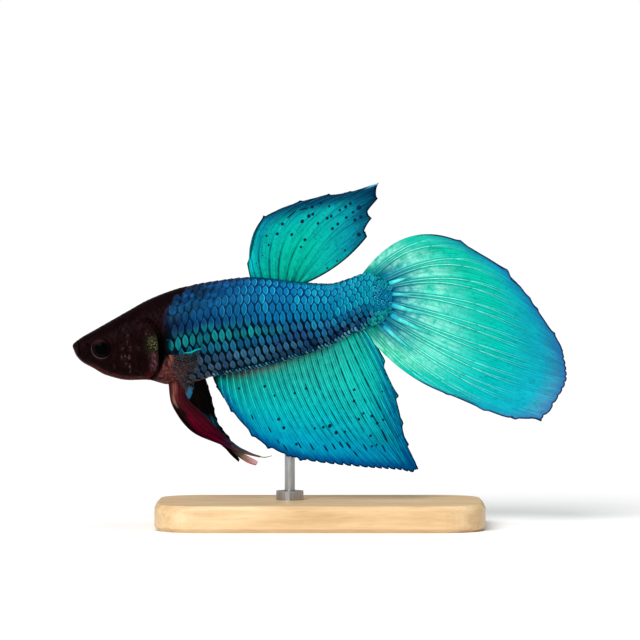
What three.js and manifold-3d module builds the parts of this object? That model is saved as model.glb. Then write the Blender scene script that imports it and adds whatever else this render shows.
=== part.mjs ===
// A life-size museum model of an adult male veiltail betta (Betta splendens), swimming level on a plain stand.
// Millimetres, +Z up. The fish faces -X, its left side faces -Y, and the origin is the middle of the
// stand's underside. The flesh is one body parted by thin cuts; every fin is a solid of its own.

import * as THREE from 'three';
import { mergeVertices } from 'three/addons/utils/BufferGeometryUtils.js';
import Module from 'manifold-3d';

const wasm = await Module();
wasm.setup();

// Driving dimensions.
const PARTING = 0.3; // width of the cuts that part the body
const FIN_CLEARANCE = 0.2; // between a fin's root and the flesh it grows from
const FIN_THICKNESS = 0.55;
const BODY_SIDES = 24;
const BODY_RINGS = 30;
const NOSE_ROUNDING = 0.12; // how far the snout and the tail root bulge past their last station
const EYE_DIAMETER = 3.4;
const BASE = { length: 50, width: 28, height: 4, corner: 7, bevel: 0.6 };
const ROD = { x: -4.6, y: 1.95, diameter: 1.6, top: 30.4, sink: 2.4, sides: 20 };
const COLLAR = { diameter: 4.2, height: 1.4 };

// The body's stations: x, height of the back, height of the belly, half width, and the section's
// roundness (1 is an ellipse, less is squarer).
const BODY_STATIONS = [
  [-37.5, 27.85, 27.3, 0.75, 0.9],
  [-37.1, 28.2, 26.15, 1.45, 0.86],
  [-36.2, 28.9, 25.15, 2.1, 0.86],
  [-34.6, 29.85, 24.2, 2.7, 0.88],
  [-32.5, 31.05, 23.05, 3.25, 0.9],
  [-29.0, 33.05, 22.3, 3.85, 0.9],
  [-26.4, 34.5, 22.35, 4.15, 0.9],
  [-23.0, 35.9, 21.65, 4.25, 0.92],
  [-20.7, 36.6, 21.8, 4.25, 0.94],
  [-16.8, 37.4, 22.75, 4.15, 0.96],
  [-10.4, 38.1, 23.9, 3.85, 1.0],
  [-2.4, 37.3, 26.1, 3.15, 1.0],
  [1.3, 37.1, 27.4, 2.65, 1.0],
  [4.5, 37.95, 29.1, 2.0, 1.0],
  [7.0, 38.75, 30.1, 1.3, 1.0],
  [9.3, 38.1, 30.9, 0.8, 1.0],
  [10.6, 37.0, 32.4, 0.45, 1.0],
];
const WIDEST = 0.54; // share of the body's height at which it is widest

// Borders between the lengths of the body, as x against height. Each is a smooth curve through its points.
const HEAD_BORDER = [[-22.9, 20], [-23.0, 26], [-23.3, 30], [-23.4, 33], [-22.1, 35], [-20.4, 39]];
const BELLY_BORDER = [[-9.0, 20], [-8.6, 30], [-9.0, 40]];
const STALK_BORDER = [[3.2, 20], [2.4, 33], [3.2, 40]];

// The chin turns up in front of the mouth. The gill cover is a rounded plate on each cheek.
const JAW_OUTLINE = [
  [-39, 27.75], [-37.0, 27.75], [-36.6, 27.3], [-36.3, 25.9], [-35.0, 25.1], [-31.6, 23.9],
  [-30.4, 21], [-39, 21],
];
const GILL_OUTLINE = [
  [-29.5, 28.4], [-28.4, 30.6], [-26.4, 31.3], [-24.8, 29.7], [-24.3, 26.8], [-24.9, 24.2],
  [-26.4, 22.9], [-28.6, 23.7], [-29.6, 26.0],
];
const CHEEK_HALF_WIDTH = 4.15;
const GILL_DEPTH = 1.5; // from the side of the cheek inward
const EYE = { x: -33.1, y: 2.2, z: 27.3, depth: 0.72 };

// Each fin's guide rays, front or top ray first: place along the root from 0 to 1, the ray's root x and z,
// the point that bends it x and z, and its tip x and z.
const DORSAL_RAYS = [
  [0.0, -10.4, 37.0, -10.9, 38.8, -11.1, 40.1],
  [0.125, -9.4, 37.0, -12.0, 43.3, -8.5, 47.1],
  [0.25, -8.5, 37.0, -11.6, 45.9, -3.0, 49.5],
  [0.375, -7.4, 36.8, -9.4, 48.6, 1.4, 50.5],
  [0.5, -6.2, 36.7, -7.4, 47.7, 4.6, 51.0],
  [0.625, -5.2, 36.6, -4.6, 47.2, 9.0, 52.4],
  [0.75, -4.4, 36.5, -0.9, 45.9, 8.8, 50.0],
  [0.875, -3.6, 36.5, 1.2, 43.8, 7.9, 47.0],
  [1.0, -2.9, 36.4, 3.3, 39.2, 7.2, 44.2],
];
const TAIL_RAYS = [
  [0.0, 6.2, 38.2, 12.5, 47.2, 21.3, 43.4],
  [0.09, 8.6, 37.7, 17.9, 46.1, 28.4, 38.9],
  [0.18, 9.2, 36.8, 23.0, 43.6, 33.1, 33.0],
  [0.36, 9.5, 35.3, 24.3, 35.3, 37.0, 26.7],
  [0.55, 9.5, 33.3, 24.6, 26.6, 37.62, 22.9],
  [0.73, 9.0, 31.8, 22.0, 20.9, 35.8, 18.9],
  [0.82, 8.5, 31.4, 18.7, 20.4, 33.4, 16.4],
  [0.91, 7.8, 31.1, 15.2, 21.4, 29.2, 16.6],
  [1.0, 6.8, 30.9, 11.9, 23.5, 19.3, 20.2],
];
const ANAL_RAYS = [
  [0.0, -16.4, 23.8, -16.4, 22.2, -15.6, 21.2],
  [0.07, -14.8, 24.2, -14.9, 20.4, -13.5, 17.8],
  [0.17, -12.5, 24.6, -11.9, 17.7, -8.1, 12.3],
  [0.3, -9.4, 25.3, -7.9, 17.3, -2.1, 10.1],
  [0.55, -3.3, 27.0, -1.7, 17.0, 6.7, 9.1],
  [0.76, 1.5, 28.7, 4.3, 17.0, 12.5, 8.6],
  [0.83, 3.2, 29.6, 7.1, 19.2, 14.1, 8.3],
  [0.87, 4.2, 30.2, 8.7, 20.2, 15.0, 8.8],
  [0.9, 4.9, 30.6, 9.2, 21.6, 13.3, 12.2],
  [0.93, 5.3, 30.7, 9.5, 23.0, 12.5, 15.7],
  [0.97, 5.9, 30.9, 9.0, 26.0, 11.4, 20.5],
  [0.985, 5.9, 31.0, 8.0, 27.6, 9.6, 23.9],
  [1.0, 6.0, 31.2, 7.4, 28.6, 9.2, 26.0],
];
const PECTORAL_RAYS = [
  [0.0, -22.9, 26.3, -20.5, 26.4, -18.3, 27.4],
  [0.35, -22.8, 26.0, -20.4, 25.4, -18.6, 25.3],
  [0.7, -22.7, 25.6, -20.9, 23.6, -19.1, 21.6],
  [1.0, -22.6, 25.2, -21.9, 22.4, -20.1, 19.5],
];

// Each pelvic fin is a narrow blade between a leading and a trailing edge: x, y outward and z down its length.
const PELVIC_LEFT = {
  lead: [
    [0, -22.9, 1.1, 22.9], [0.2, -22.6, 1.5, 19.6], [0.4, -21.4, 2.0, 17.0], [0.6, -19.1, 2.3, 14.5],
    [0.8, -15.0, 2.3, 12.7], [0.93, -11.4, 2.2, 11.3], [1, -7.4, 2.0, 10.6],
  ],
  trail: [
    [0, -20.4, 1.3, 23.2], [0.2, -20.2, 1.7, 19.9], [0.4, -18.3, 2.2, 17.7], [0.6, -15.9, 2.5, 15.7],
    [0.8, -13.4, 2.4, 13.1], [0.93, -10.6, 2.2, 11.4], [1, -7.2, 2.0, 10.8],
  ],
};
const PELVIC_RIGHT = {
  lead: [
    [0, -20.6, 1.0, 23.2], [0.25, -20.0, 1.6, 18.9], [0.5, -17.9, 2.1, 15.7], [0.75, -15.0, 2.3, 12.6],
    [0.9, -12.9, 2.3, 10.4], [1, -10.3, 2.3, 9.3],
  ],
  trail: [
    [0, -17.8, 1.0, 23.6], [0.25, -16.6, 1.6, 19.6], [0.5, -15.7, 2.2, 16.0], [0.75, -13.6, 2.4, 13.0],
    [0.9, -11.0, 2.4, 11.0], [1, -9.5, 2.3, 9.8],
  ],
};

// A smooth curve through rows of numbers. The first number of a row is its parameter, and the curve never
// swings past a row, so a sharp tip stays sharp.
function through(rows) {
  const last = rows.length - 1;
  const step = (k) => rows[k + 1][0] - rows[k][0];
  const slope = (k, column) => (rows[k + 1][column] - rows[k][column]) / step(k);
  const tangent = (k, column) => {
    if (k === 0) return slope(0, column);
    if (k === last) return slope(last - 1, column);
    const before = slope(k - 1, column);
    const after = slope(k, column);
    return before * after <= 0 ? 0 : (2 * before * after) / (before + after);
  };
  return (t) => {
    let k = 0;
    while (k < last - 1 && t > rows[k + 1][0]) k++;
    const h = step(k);
    const s = Math.min(1, Math.max(0, (t - rows[k][0]) / h));
    return rows[k].slice(1).map((value, i) => {
      const rise = rows[k + 1][i + 1] - value;
      const start = tangent(k, i + 1) * h;
      const end = tangent(k + 1, i + 1) * h;
      return value + s * (start + s * (3 * rise - 2 * start - end + s * (start + end - 2 * rise)));
    });
  };
}

function closedGeometry(positions, triangles) {
  const geometry = new THREE.BufferGeometry();
  geometry.setAttribute('position', new THREE.Float32BufferAttribute(positions, 3));
  geometry.setIndex(triangles);
  return geometry;
}

function toSolid(source) {
  const bare = source.clone();
  bare.deleteAttribute('normal');
  bare.deleteAttribute('uv');
  const merged = mergeVertices(bare, 1e-4);
  return new wasm.Manifold(new wasm.Mesh({
    numProp: 3,
    vertProperties: new Float32Array(merged.attributes.position.array),
    triVerts: new Uint32Array(merged.index.array),
  }));
}

// The largest piece of a solid, as a geometry. Slivers left over by a cut are dropped.
function toGeometry(solid) {
  const pieces = solid.decompose();
  pieces.sort((a, b) => b.volume() - a.volume());
  const mesh = pieces[0].getMesh();
  return closedGeometry(Array.from(mesh.vertProperties), Array.from(mesh.triVerts));
}

// The flesh from snout to tail root, as one closed loft. grow makes it fatter all round.
const bodySection = through(BODY_STATIONS);

function bodyLoft(grow = 0) {
  const first = BODY_STATIONS[0][0];
  const length = BODY_STATIONS.at(-1)[0] - first;
  const positions = [];
  const triangles = [];
  const power = (value, exponent) => Math.sign(value) * Math.abs(value) ** exponent;
  for (let i = 0; i <= BODY_RINGS; i++) {
    const x = first + length * (i / BODY_RINGS) ** 1.25;
    const [top, bottom, halfWidth, roundness] = bodySection(x);
    const middle = bottom + WIDEST * (top - bottom);
    const end = i === 0 ? -grow : i === BODY_RINGS ? grow : 0;
    for (let j = 0; j < BODY_SIDES; j++) {
      const angle = (2 * Math.PI * j) / BODY_SIDES;
      const up = power(Math.cos(angle), roundness);
      const reach = (up > 0 ? top - middle : middle - bottom) + grow;
      positions.push(x + end, power(Math.sin(angle), roundness) * (halfWidth + grow), middle + up * reach);
    }
  }
  for (let i = 0; i < BODY_RINGS; i++) {
    for (let j = 0; j < BODY_SIDES; j++) {
      const a = i * BODY_SIDES + j;
      const b = i * BODY_SIDES + ((j + 1) % BODY_SIDES);
      triangles.push(a, a + BODY_SIDES, b, b, a + BODY_SIDES, b + BODY_SIDES);
    }
  }
  for (const [ring, outward] of [[0, -1], [BODY_RINGS, 1]]) {
    const x = first + length * (ring / BODY_RINGS);
    const [top, bottom] = bodySection(x);
    const middle = positions.length / 3;
    positions.push(x + outward * (grow + NOSE_ROUNDING), 0, (top + bottom) / 2);
    for (let j = 0; j < BODY_SIDES; j++) {
      const a = ring * BODY_SIDES + j;
      const b = ring * BODY_SIDES + ((j + 1) % BODY_SIDES);
      triangles.push(...(outward < 0 ? [middle, a, b] : [middle, b, a]));
    }
  }
  return closedGeometry(positions, triangles);
}

// A smooth curve through points in the x-z plane. A closed one ends where it starts.
function smoothed(points, divisions) {
  const curve = new THREE.SplineCurve(points.map(([x, z]) => new THREE.Vector2(x, z)));
  return curve.getPoints(divisions).map(({ x, y }) => [x, y]);
}

// A wall of the outline (x against z), from y = near to y = far, to cut the body with.
function prism(outline, near, far) {
  const shape = new THREE.Shape(outline.map(([x, z]) => new THREE.Vector2(x, z)));
  const geometry = new THREE.ExtrudeGeometry(shape, { depth: far - near, bevelEnabled: false });
  geometry.rotateX(Math.PI / 2);
  geometry.translate(0, far, 0);
  return toSolid(geometry);
}

// The length of the body between two borders, each set back by half the parting.
function lengthBetween(front, rear) {
  const gap = PARTING / 2;
  const border = (points, shift) => smoothed(points, 8).map(([x, z]) => [x + shift, z]);
  const ahead = front ? border(front, gap) : [[-45, 15], [-45, 45]];
  const behind = rear ? border(rear, -gap) : [[20, 15], [20, 45]];
  return prism([...behind, ...ahead.reverse()], -12, 12);
}

// An outline with each edge moved outward by the distance. Its points run clockwise or anticlockwise.
function widened(outline, distance) {
  const points = outline.map(([x, z]) => new THREE.Vector2(x, z));
  const turn = Math.sign(THREE.ShapeUtils.area(points));
  const outward = (from, to) => {
    const edge = to.clone().sub(from).normalize();
    return new THREE.Vector2(edge.y, -edge.x).multiplyScalar(turn);
  };
  return points.map((point, k) => {
    const before = outward(points.at(k - 1), point);
    const after = outward(point, points[(k + 1) % points.length]);
    const mitre = before.add(after).multiplyScalar(1 / (1 + before.dot(after)));
    return [point.x + mitre.x * distance, point.y + mitre.y * distance];
  });
}

function eyeGeometry(side, grow = 0) {
  const ball = new THREE.SphereGeometry(EYE_DIAMETER / 2 + grow, 16, 10);
  ball.rotateX(Math.PI / 2);
  ball.scale(1, EYE.depth, 1);
  ball.translate(EYE.x, side * EYE.y, EYE.z);
  return ball;
}

// A fin as a closed sheet. surface(u, v) gives its middle as [x, y, z], u across the rays and v from root to
// tip; normal is the direction of its thickness.
function finGeometry(surface, columns, rows, thickness, normal = [0, 1, 0]) {
  const positions = [];
  const triangles = [];
  for (const side of [-1, 1]) {
    for (let i = 0; i <= columns; i++) {
      for (let j = 0; j <= rows; j++) {
        const [x, y, z] = surface(i / columns, j / rows);
        const half = (side * thickness) / 2;
        positions.push(x + half * normal[0], y + half * normal[1], z + half * normal[2]);
      }
    }
  }
  const sheet = (columns + 1) * (rows + 1);
  const at = (side, i, j) => side * sheet + i * (rows + 1) + j;
  const quad = (a, b, c, d) => triangles.push(a, b, c, a, c, d);
  for (let i = 0; i < columns; i++) {
    for (let j = 0; j < rows; j++) {
      quad(at(0, i, j), at(0, i, j + 1), at(0, i + 1, j + 1), at(0, i + 1, j));
      quad(at(1, i, j), at(1, i + 1, j), at(1, i + 1, j + 1), at(1, i, j + 1));
    }
    quad(at(0, i, 0), at(0, i + 1, 0), at(1, i + 1, 0), at(1, i, 0));
    quad(at(0, i, rows), at(1, i, rows), at(1, i + 1, rows), at(0, i + 1, rows));
  }
  for (let j = 0; j < rows; j++) {
    quad(at(0, 0, j), at(1, 0, j), at(1, 0, j + 1), at(0, 0, j + 1));
    quad(at(0, columns, j), at(0, columns, j + 1), at(1, columns, j + 1), at(1, columns, j));
  }
  const geometry = closedGeometry(positions, triangles);
  return toSolid(geometry).volume() < 0 ? turnedOutward(geometry) : geometry;
}

function turnedOutward(geometry) {
  const index = Array.from(geometry.index.array);
  for (let k = 0; k < index.length; k += 3) {
    [index[k + 1], index[k + 2]] = [index[k + 2], index[k + 1]];
  }
  return closedGeometry(Array.from(geometry.attributes.position.array), index);
}

// A fan of bent rays. rayCount rays reach the margin, which is notched between them by notch(u), a share of
// the ray's length; wave(u, v) swings the fin sideways.
function fanSurface(guideRays, rayCount, notch, wave) {
  const guide = through(guideRays);
  return (u, v) => {
    const [rootX, rootZ, bendX, bendZ, tipX, tipZ] = guide(u);
    const between = Math.abs(Math.sin(Math.PI * u * rayCount));
    const t = v * (1 - notch(u) * between);
    const a = (1 - t) * (1 - t);
    const b = 2 * t * (1 - t);
    const c = t * t;
    return [a * rootX + b * bendX + c * tipX, wave(u, v), a * rootZ + b * bendZ + c * tipZ];
  };
}

const dorsalSurface = fanSurface(DORSAL_RAYS, 8, (u) => 0.015 + 0.07 * u ** 4,
  (u, v) => 0.7 * v * v * Math.sin(5 * u + 0.6));
const tailSurface = fanSurface(TAIL_RAYS, 11, () => 0.012,
  (u, v) => 1.5 * v * v * Math.sin(4.4 * u - 0.5));
const analSurface = fanSurface(ANAL_RAYS, 26, () => 0.018,
  (u, v) => 0.5 * v * v * Math.sin(7 * u + 1.1));

// The pectoral fin stands off the flank, further out towards its tip.
function pectoralSurface(side) {
  return fanSurface(PECTORAL_RAYS, 8, () => 0.04, (u, v) => side * (3.7 + 1.9 * v + 0.5 * u * v));
}

function pelvicSurface(blade, side) {
  const lead = through(blade.lead);
  const trail = through(blade.trail);
  return (u, v) => {
    const front = lead(v);
    const back = trail(v);
    const [x, y, z] = front.map((value, k) => value + u * (back[k] - value));
    return [x, side * y, z];
  };
}

function baseGeometry() {
  const x = BASE.length / 2 - BASE.bevel;
  const y = BASE.width / 2 - BASE.bevel;
  const r = BASE.corner - BASE.bevel;
  const shape = new THREE.Shape();
  shape.moveTo(-x + r, -y);
  shape.lineTo(x - r, -y);
  shape.absarc(x - r, -y + r, r, -Math.PI / 2, 0, false);
  shape.lineTo(x, y - r);
  shape.absarc(x - r, y - r, r, 0, Math.PI / 2, false);
  shape.lineTo(-x + r, y);
  shape.absarc(-x + r, y - r, r, Math.PI / 2, Math.PI, false);
  shape.lineTo(-x, -y + r);
  shape.absarc(-x + r, -y + r, r, Math.PI, 1.5 * Math.PI, false);
  return new THREE.ExtrudeGeometry(shape, {
    depth: BASE.height - 2 * BASE.bevel,
    bevelThickness: BASE.bevel,
    bevelSize: BASE.bevel,
    bevelSegments: 1,
    curveSegments: 6,
  });
}

function uprightCylinder(diameter, low, high) {
  const cylinder = new THREE.CylinderGeometry(diameter / 2, diameter / 2, high - low, ROD.sides);
  cylinder.rotateX(Math.PI / 2);
  cylinder.translate(ROD.x, ROD.y, (low + high) / 2);
  return cylinder;
}

const paint = {
  headSkin: new THREE.MeshStandardMaterial({ color: 0x22100f, roughness: 0.45 }),
  gillCover: new THREE.MeshStandardMaterial({ color: 0x2b1a14, roughness: 0.4 }),
  trunkScales: new THREE.MeshStandardMaterial({ color: 0x0d6f98, roughness: 0.38, metalness: 0.2 }),
  finMembrane: new THREE.MeshStandardMaterial({ color: 0x14b8a8, roughness: 0.45 }),
  pelvicMembrane: new THREE.MeshStandardMaterial({ color: 0x4a0d1c, roughness: 0.5 }),
  pectoralMembrane: new THREE.MeshStandardMaterial({ color: 0x7c8a88, roughness: 0.5 }),
  eye: new THREE.MeshStandardMaterial({ color: 0x1b0f12, roughness: 0.12 }),
  stand: new THREE.MeshStandardMaterial({ color: 0xd9c6a3, roughness: 0.5 }),
  steel: new THREE.MeshStandardMaterial({ color: 0xb9bcbf, roughness: 0.3, metalness: 1 }),
};

const fish = new THREE.Group();

function addNode(name, geometry, material) {
  const mesh = new THREE.Mesh(geometry, material);
  mesh.name = name;
  fish.add(mesh);
  return mesh;
}

// Flesh: one body, parted into head, chin, gill covers, two lengths of trunk and the tail stalk.
const body = toSolid(bodyLoft());
const fattened = toSolid(bodyLoft(FIN_CLEARANCE));
const jawRoom = prism(widened(JAW_OUTLINE, PARTING), -12, 12);
const gillPlate = smoothed([...GILL_OUTLINE, GILL_OUTLINE[0]], 20).slice(0, -1);
const cheekDepth = CHEEK_HALF_WIDTH - GILL_DEPTH;
let head = body.intersect(lengthBetween(null, HEAD_BORDER)).subtract(jawRoom);
for (const side of [-1, 1]) {
  const name = side < 0 ? 'left' : 'right';
  const cheek = (inner) => (side < 0 ? [-12, -inner] : [inner, 12]);
  const cover = body.intersect(prism(gillPlate, ...cheek(cheekDepth)));
  addNode(`gill_cover_${name}`, toGeometry(cover), paint.gillCover);
  addNode(`eye_${name}`, eyeGeometry(side), paint.eye);
  head = head.subtract(prism(widened(gillPlate, PARTING), ...cheek(cheekDepth - PARTING)));
  head = head.subtract(toSolid(eyeGeometry(side, PARTING / 2)));
}
addNode('head', toGeometry(head), paint.headSkin);
addNode('lower_jaw', toGeometry(body.intersect(prism(JAW_OUTLINE, -12, 12))), paint.headSkin);

const rodSocket = toSolid(uprightCylinder(ROD.diameter + PARTING, 15, ROD.top + PARTING));
const trunkFront = body.intersect(lengthBetween(HEAD_BORDER, BELLY_BORDER));
const trunkRear = body.intersect(lengthBetween(BELLY_BORDER, STALK_BORDER)).subtract(rodSocket);
addNode('trunk_front', toGeometry(trunkFront), paint.trunkScales);
addNode('trunk_rear', toGeometry(trunkRear), paint.trunkScales);
addNode('tail_stalk', toGeometry(body.intersect(lengthBetween(STALK_BORDER, null))), paint.trunkScales);

// Fins: each is cut back to the flesh that it grows from.
function addFin(name, surface, columns, rows, material) {
  const sheet = toSolid(finGeometry(surface, columns, rows, FIN_THICKNESS));
  addNode(name, toGeometry(sheet.subtract(fattened)), material);
}

addFin('dorsal_fin', dorsalSurface, 24, 6, paint.finMembrane);
addFin('tail_fin', tailSurface, 33, 6, paint.finMembrane);
addFin('anal_fin', analSurface, 52, 4, paint.finMembrane);
for (const [name, side, blade] of [['left', -1, PELVIC_LEFT], ['right', 1, PELVIC_RIGHT]]) {
  addFin(`pelvic_fin_${name}`, pelvicSurface(blade, side), 3, 14, paint.pelvicMembrane);
  addFin(`pectoral_fin_${name}`, pectoralSurface(side), 16, 4, paint.pectoralMembrane);
}

// Stand: a bevelled base, a steel rod set into it, and a collar where the rod leaves it.
const rodHole = toSolid(uprightCylinder(ROD.diameter + PARTING, BASE.height - ROD.sink - PARTING, BASE.height + 5));
const base = baseGeometry();
base.translate(0, 0, BASE.bevel);
addNode('stand_base', toGeometry(toSolid(base).subtract(rodHole)), paint.stand);
addNode('stand_rod', uprightCylinder(ROD.diameter, BASE.height - ROD.sink, ROD.top), paint.steel);
const collar = toSolid(uprightCylinder(COLLAR.diameter, BASE.height + 0.02, BASE.height + COLLAR.height));
addNode('stand_collar', toGeometry(collar.subtract(rodHole)), paint.steel);

export default fish;
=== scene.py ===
"""A male betta, life size and still, held by a steel rod over a small maple base."""
import math

import bpy
import numpy as np
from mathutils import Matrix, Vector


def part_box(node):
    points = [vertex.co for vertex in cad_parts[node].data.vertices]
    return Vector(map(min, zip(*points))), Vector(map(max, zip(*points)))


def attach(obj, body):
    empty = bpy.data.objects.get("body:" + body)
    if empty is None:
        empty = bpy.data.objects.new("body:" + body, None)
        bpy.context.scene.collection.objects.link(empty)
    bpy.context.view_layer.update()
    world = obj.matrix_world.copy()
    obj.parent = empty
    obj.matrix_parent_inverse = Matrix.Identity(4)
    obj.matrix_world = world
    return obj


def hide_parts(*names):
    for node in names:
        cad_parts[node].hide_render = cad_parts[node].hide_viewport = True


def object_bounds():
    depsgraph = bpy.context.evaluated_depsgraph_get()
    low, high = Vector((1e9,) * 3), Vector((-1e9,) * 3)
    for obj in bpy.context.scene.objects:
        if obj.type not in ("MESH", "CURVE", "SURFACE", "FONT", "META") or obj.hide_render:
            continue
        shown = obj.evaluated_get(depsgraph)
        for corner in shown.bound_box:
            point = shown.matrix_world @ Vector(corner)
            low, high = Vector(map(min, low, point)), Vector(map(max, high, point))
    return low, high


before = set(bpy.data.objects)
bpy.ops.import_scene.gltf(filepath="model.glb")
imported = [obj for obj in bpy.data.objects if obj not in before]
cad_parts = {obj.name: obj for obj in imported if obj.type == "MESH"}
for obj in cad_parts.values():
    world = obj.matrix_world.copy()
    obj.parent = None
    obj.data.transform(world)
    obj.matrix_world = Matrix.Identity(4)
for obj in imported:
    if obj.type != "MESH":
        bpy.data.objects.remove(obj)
cad_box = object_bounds()
bpy.ops.object.select_all(action="DESELECT")

# ---------------------------------------------------------------- the skin
# One soft skin covers the head, gill covers, trunk and tail stalk. It is thin and moist, nearly
# black maroon on the head and navy under the scales, and is drawn tight over the flesh.
# The mouth, lips, nostrils, eye sockets and gill slits are folds of it.

MM = 0.001
# in mm: how far the skin lies under the coat of scales on the trunk and on the head
COAT_DEPTH = 0.15
HEAD_COAT_DEPTH = 0.05
# the body is widest at this share of its height
WIDEST = 0.54
NOSE_ROUNDING = 0.12
FACES_ROUND = 236
# x, top, bottom, half width and roundness of the body's section
BODY_STATIONS = [
    (-37.5, 27.9, 27.1, 0.85, 0.9),
    (-37.1, 28.25, 26.15, 1.45, 0.86),
    (-36.2, 28.9, 25.15, 2.1, 0.86),
    (-34.6, 29.85, 24.2, 2.7, 0.88),
    (-32.5, 31.05, 23.05, 3.25, 0.9),
    (-29, 33.05, 22.3, 3.85, 0.9),
    (-26.4, 34.5, 22.35, 4.15, 0.9),
    (-23, 35.9, 21.65, 4.25, 0.92),
    (-20.7, 36.6, 21.8, 4.25, 0.94),
    (-16.8, 37.4, 22.75, 4.15, 0.96),
    (-10.4, 38.1, 23.9, 3.85, 1),
    (-2.4, 37.3, 26.1, 3.15, 1),
    (1.3, 37.1, 27.4, 2.65, 1),
    (4.5, 37.95, 29.1, 2, 1),
    (7, 38.75, 30.1, 1.3, 1),
    (9.3, 38.1, 30.9, 0.8, 1),
    (10.6, 37, 32.4, 0.45, 1),
]
# where the skin's rings lie: x, and the step to the next ring
RING_STEPS = [(-37.5, 0.025), (-37.1, 0.03), (-36, 0.06), (-34.5, 0.085), (-22.8, 0.09),
              (-20.5, 0.2), (-18, 0.3), (10.6, 0.3)]
# where the head's bare skin ends, as z and x
HEAD_BORDER = [(20, -23.3), (24, -23.4), (27, -23.1), (29.5, -23.3), (32, -23.3), (33.5, -22.9),
               (34.6, -22), (35.5, -21), (36.5, -20.4), (40, -18)]
# the mouth and the folds of the head, as x and z
MOUTH = [(-36.75, 28.5), (-36.62, 28), (-36.54, 27.3), (-36.48, 26.6), (-36.35, 26)]
LIP_FOLD = [(-36.2, 29), (-35.8, 28.3), (-35.72, 27.3), (-35.85, 26.4), (-36.1, 25.7)]
NOSTRIL = (-35.3, 27.85)
CHEEK_FOLD = [(-35.3, 26.3), (-34.6, 25.4), (-33.2, 24.9), (-31.7, 25.2), (-30.9, 26.3)]
GILL_FOLD = [(-29.7, 31.6), (-30.5, 29.8), (-30.7, 27.8), (-30.2, 25.7), (-29, 24.3), (-27.2, 23.5)]
CHIN_FOLD = [(-36.1, 25.6), (-34.4, 24.75), (-32.4, 23.7), (-29.5, 22.95), (-27, 22.95), (-25.4, 23.3)]
GILL_COVER = [(-29.5, 28.4), (-28.4, 30.6), (-26.4, 31.3), (-24.8, 29.7), (-24.4, 26.8),
              (-24.6, 24.2), (-26.2, 22.8), (-28.6, 23.5), (-29.6, 26)]
PECTORAL_BASE = (-22.5, 25.7)
# pale flecks of the cheek and the gill cover: x, z and strength
FLECKS = [(-29.9, 27.35, 0.5), (-29.25, 28.2, 0.4), (-28.75, 27.35, 0.6), (-30, 25.95, 0.7),
          (-29.5, 25.95, 0.8), (-28.9, 25.95, 1.1), (-29.4, 24.8, 0.7), (-28.85, 24.6, 0.8),
          (-27.1, 30.7, 0.5), (-29.1, 29.2, 0.5), (-30, 30.35, 0.3), (-26.3, 29.7, 0.6),
          (-28.75, 23.85, 0.5), (-27.5, 27.3, 0.25), (-31.1, 24.6, 0.3)]


def through(points):
    """A smooth curve through (x, value) points, which never overshoots them."""
    places, values = np.array(points, float).T
    steps = np.diff(places)
    slopes = np.diff(values) / steps
    product = slopes[1:] * slopes[:-1]
    total = np.where(product > 0, slopes[1:] + slopes[:-1], 1)
    inner = np.where(product > 0, 2 * product / total, 0)
    tangents = np.concatenate((slopes[:1], inner, slopes[-1:]))

    def curve(x):
        x = np.clip(x, places[0], places[-1])
        i = np.clip(np.searchsorted(places, x, side="right") - 1, 0, len(steps) - 1)
        t = (x - places[i]) / steps[i]
        start = (1 + 2 * t) * (1 - t) ** 2 * values[i] + t * (1 - t) ** 2 * steps[i] * tangents[i]
        end = t * t * (3 - 2 * t) * values[i + 1] + t * t * (t - 1) * steps[i] * tangents[i + 1]
        return start + end

    return curve


def ease(value, low, high):
    """0 below low and 1 above high, with a smooth rise between."""
    t = np.clip((value - low) / (high - low), 0, 1)
    return t * t * (3 - 2 * t)


def near(distance, width):
    """A soft bump, 1 at no distance and fading over width."""
    return np.exp(-(distance / width) ** 2)


def smooth_line(points, closed=False):
    """The points of a curve that passes through the given ones."""
    points = np.array(points, float)
    if closed:
        points = np.vstack((points[-1:], points, points[:2]))
    else:
        points = np.vstack((2 * points[0] - points[1], points, 2 * points[-1] - points[-2]))
    t = np.linspace(0, 1, 9)[:-1, None]
    line = []
    for a, b, c, d in zip(points, points[1:], points[2:], points[3:]):
        line.append(b + (c - a) * t / 2 + (a - 2.5 * b + 2 * c - d / 2) * t**2
                    + (1.5 * (b - c) + (d - a) / 2) * t**3)
    line.append(points[-2:-1])
    return np.vstack(line)


def line_distance(x, z, line):
    """The distance to a line, above 0 on its left, and how far along the line that is, from 0 to 1."""
    best = np.full(x.shape, np.inf)
    signed = np.zeros(x.shape)
    along = np.zeros(x.shape)
    for k, (start, end) in enumerate(zip(line, line[1:])):
        way = end - start
        size = way @ way
        t = np.clip(((x - start[0]) * way[0] + (z - start[1]) * way[1]) / size, 0, 1)
        off_x = x - start[0] - t * way[0]
        off_z = z - start[1] - t * way[1]
        distance = np.hypot(off_x, off_z)
        closer = distance < best
        side = np.where(way[0] * off_z - way[1] * off_x >= 0, 1, -1)
        best = np.where(closer, distance, best)
        signed = np.where(closer, distance * side, signed)
        along = np.where(closer, (k + t) / (len(line) - 1), along)
    return signed, along


top_line, bottom_line, half_width, roundness = (
    through([(row[0], row[k]) for row in BODY_STATIONS]) for k in range(1, 5)
)


def body_point(x, turn):
    """y and z of the body's side: turn is 0 on the back, pi on the belly, and grows to the left."""
    top, bottom = top_line(x), bottom_line(x)
    middle = bottom + WIDEST * (top - bottom)
    power = roundness(x)
    sine, cosine = np.sin(turn), np.cos(turn)
    reach = np.where(cosine > 0, top - middle, middle - bottom)
    y = -np.sign(sine) * np.abs(sine) ** power * half_width(x)
    z = middle + np.sign(cosine) * np.abs(cosine) ** power * reach
    return y, z


def head_border(z):
    """x where the head's bare skin gives way to the scaled trunk."""
    return np.interp(z, *np.array(HEAD_BORDER, float).T)


def in_mm(node):
    """The lowest and highest corners of a CAD node, in millimetres."""
    low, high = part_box(node)
    return np.array(low) / MM, np.array(high) / MM


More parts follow.
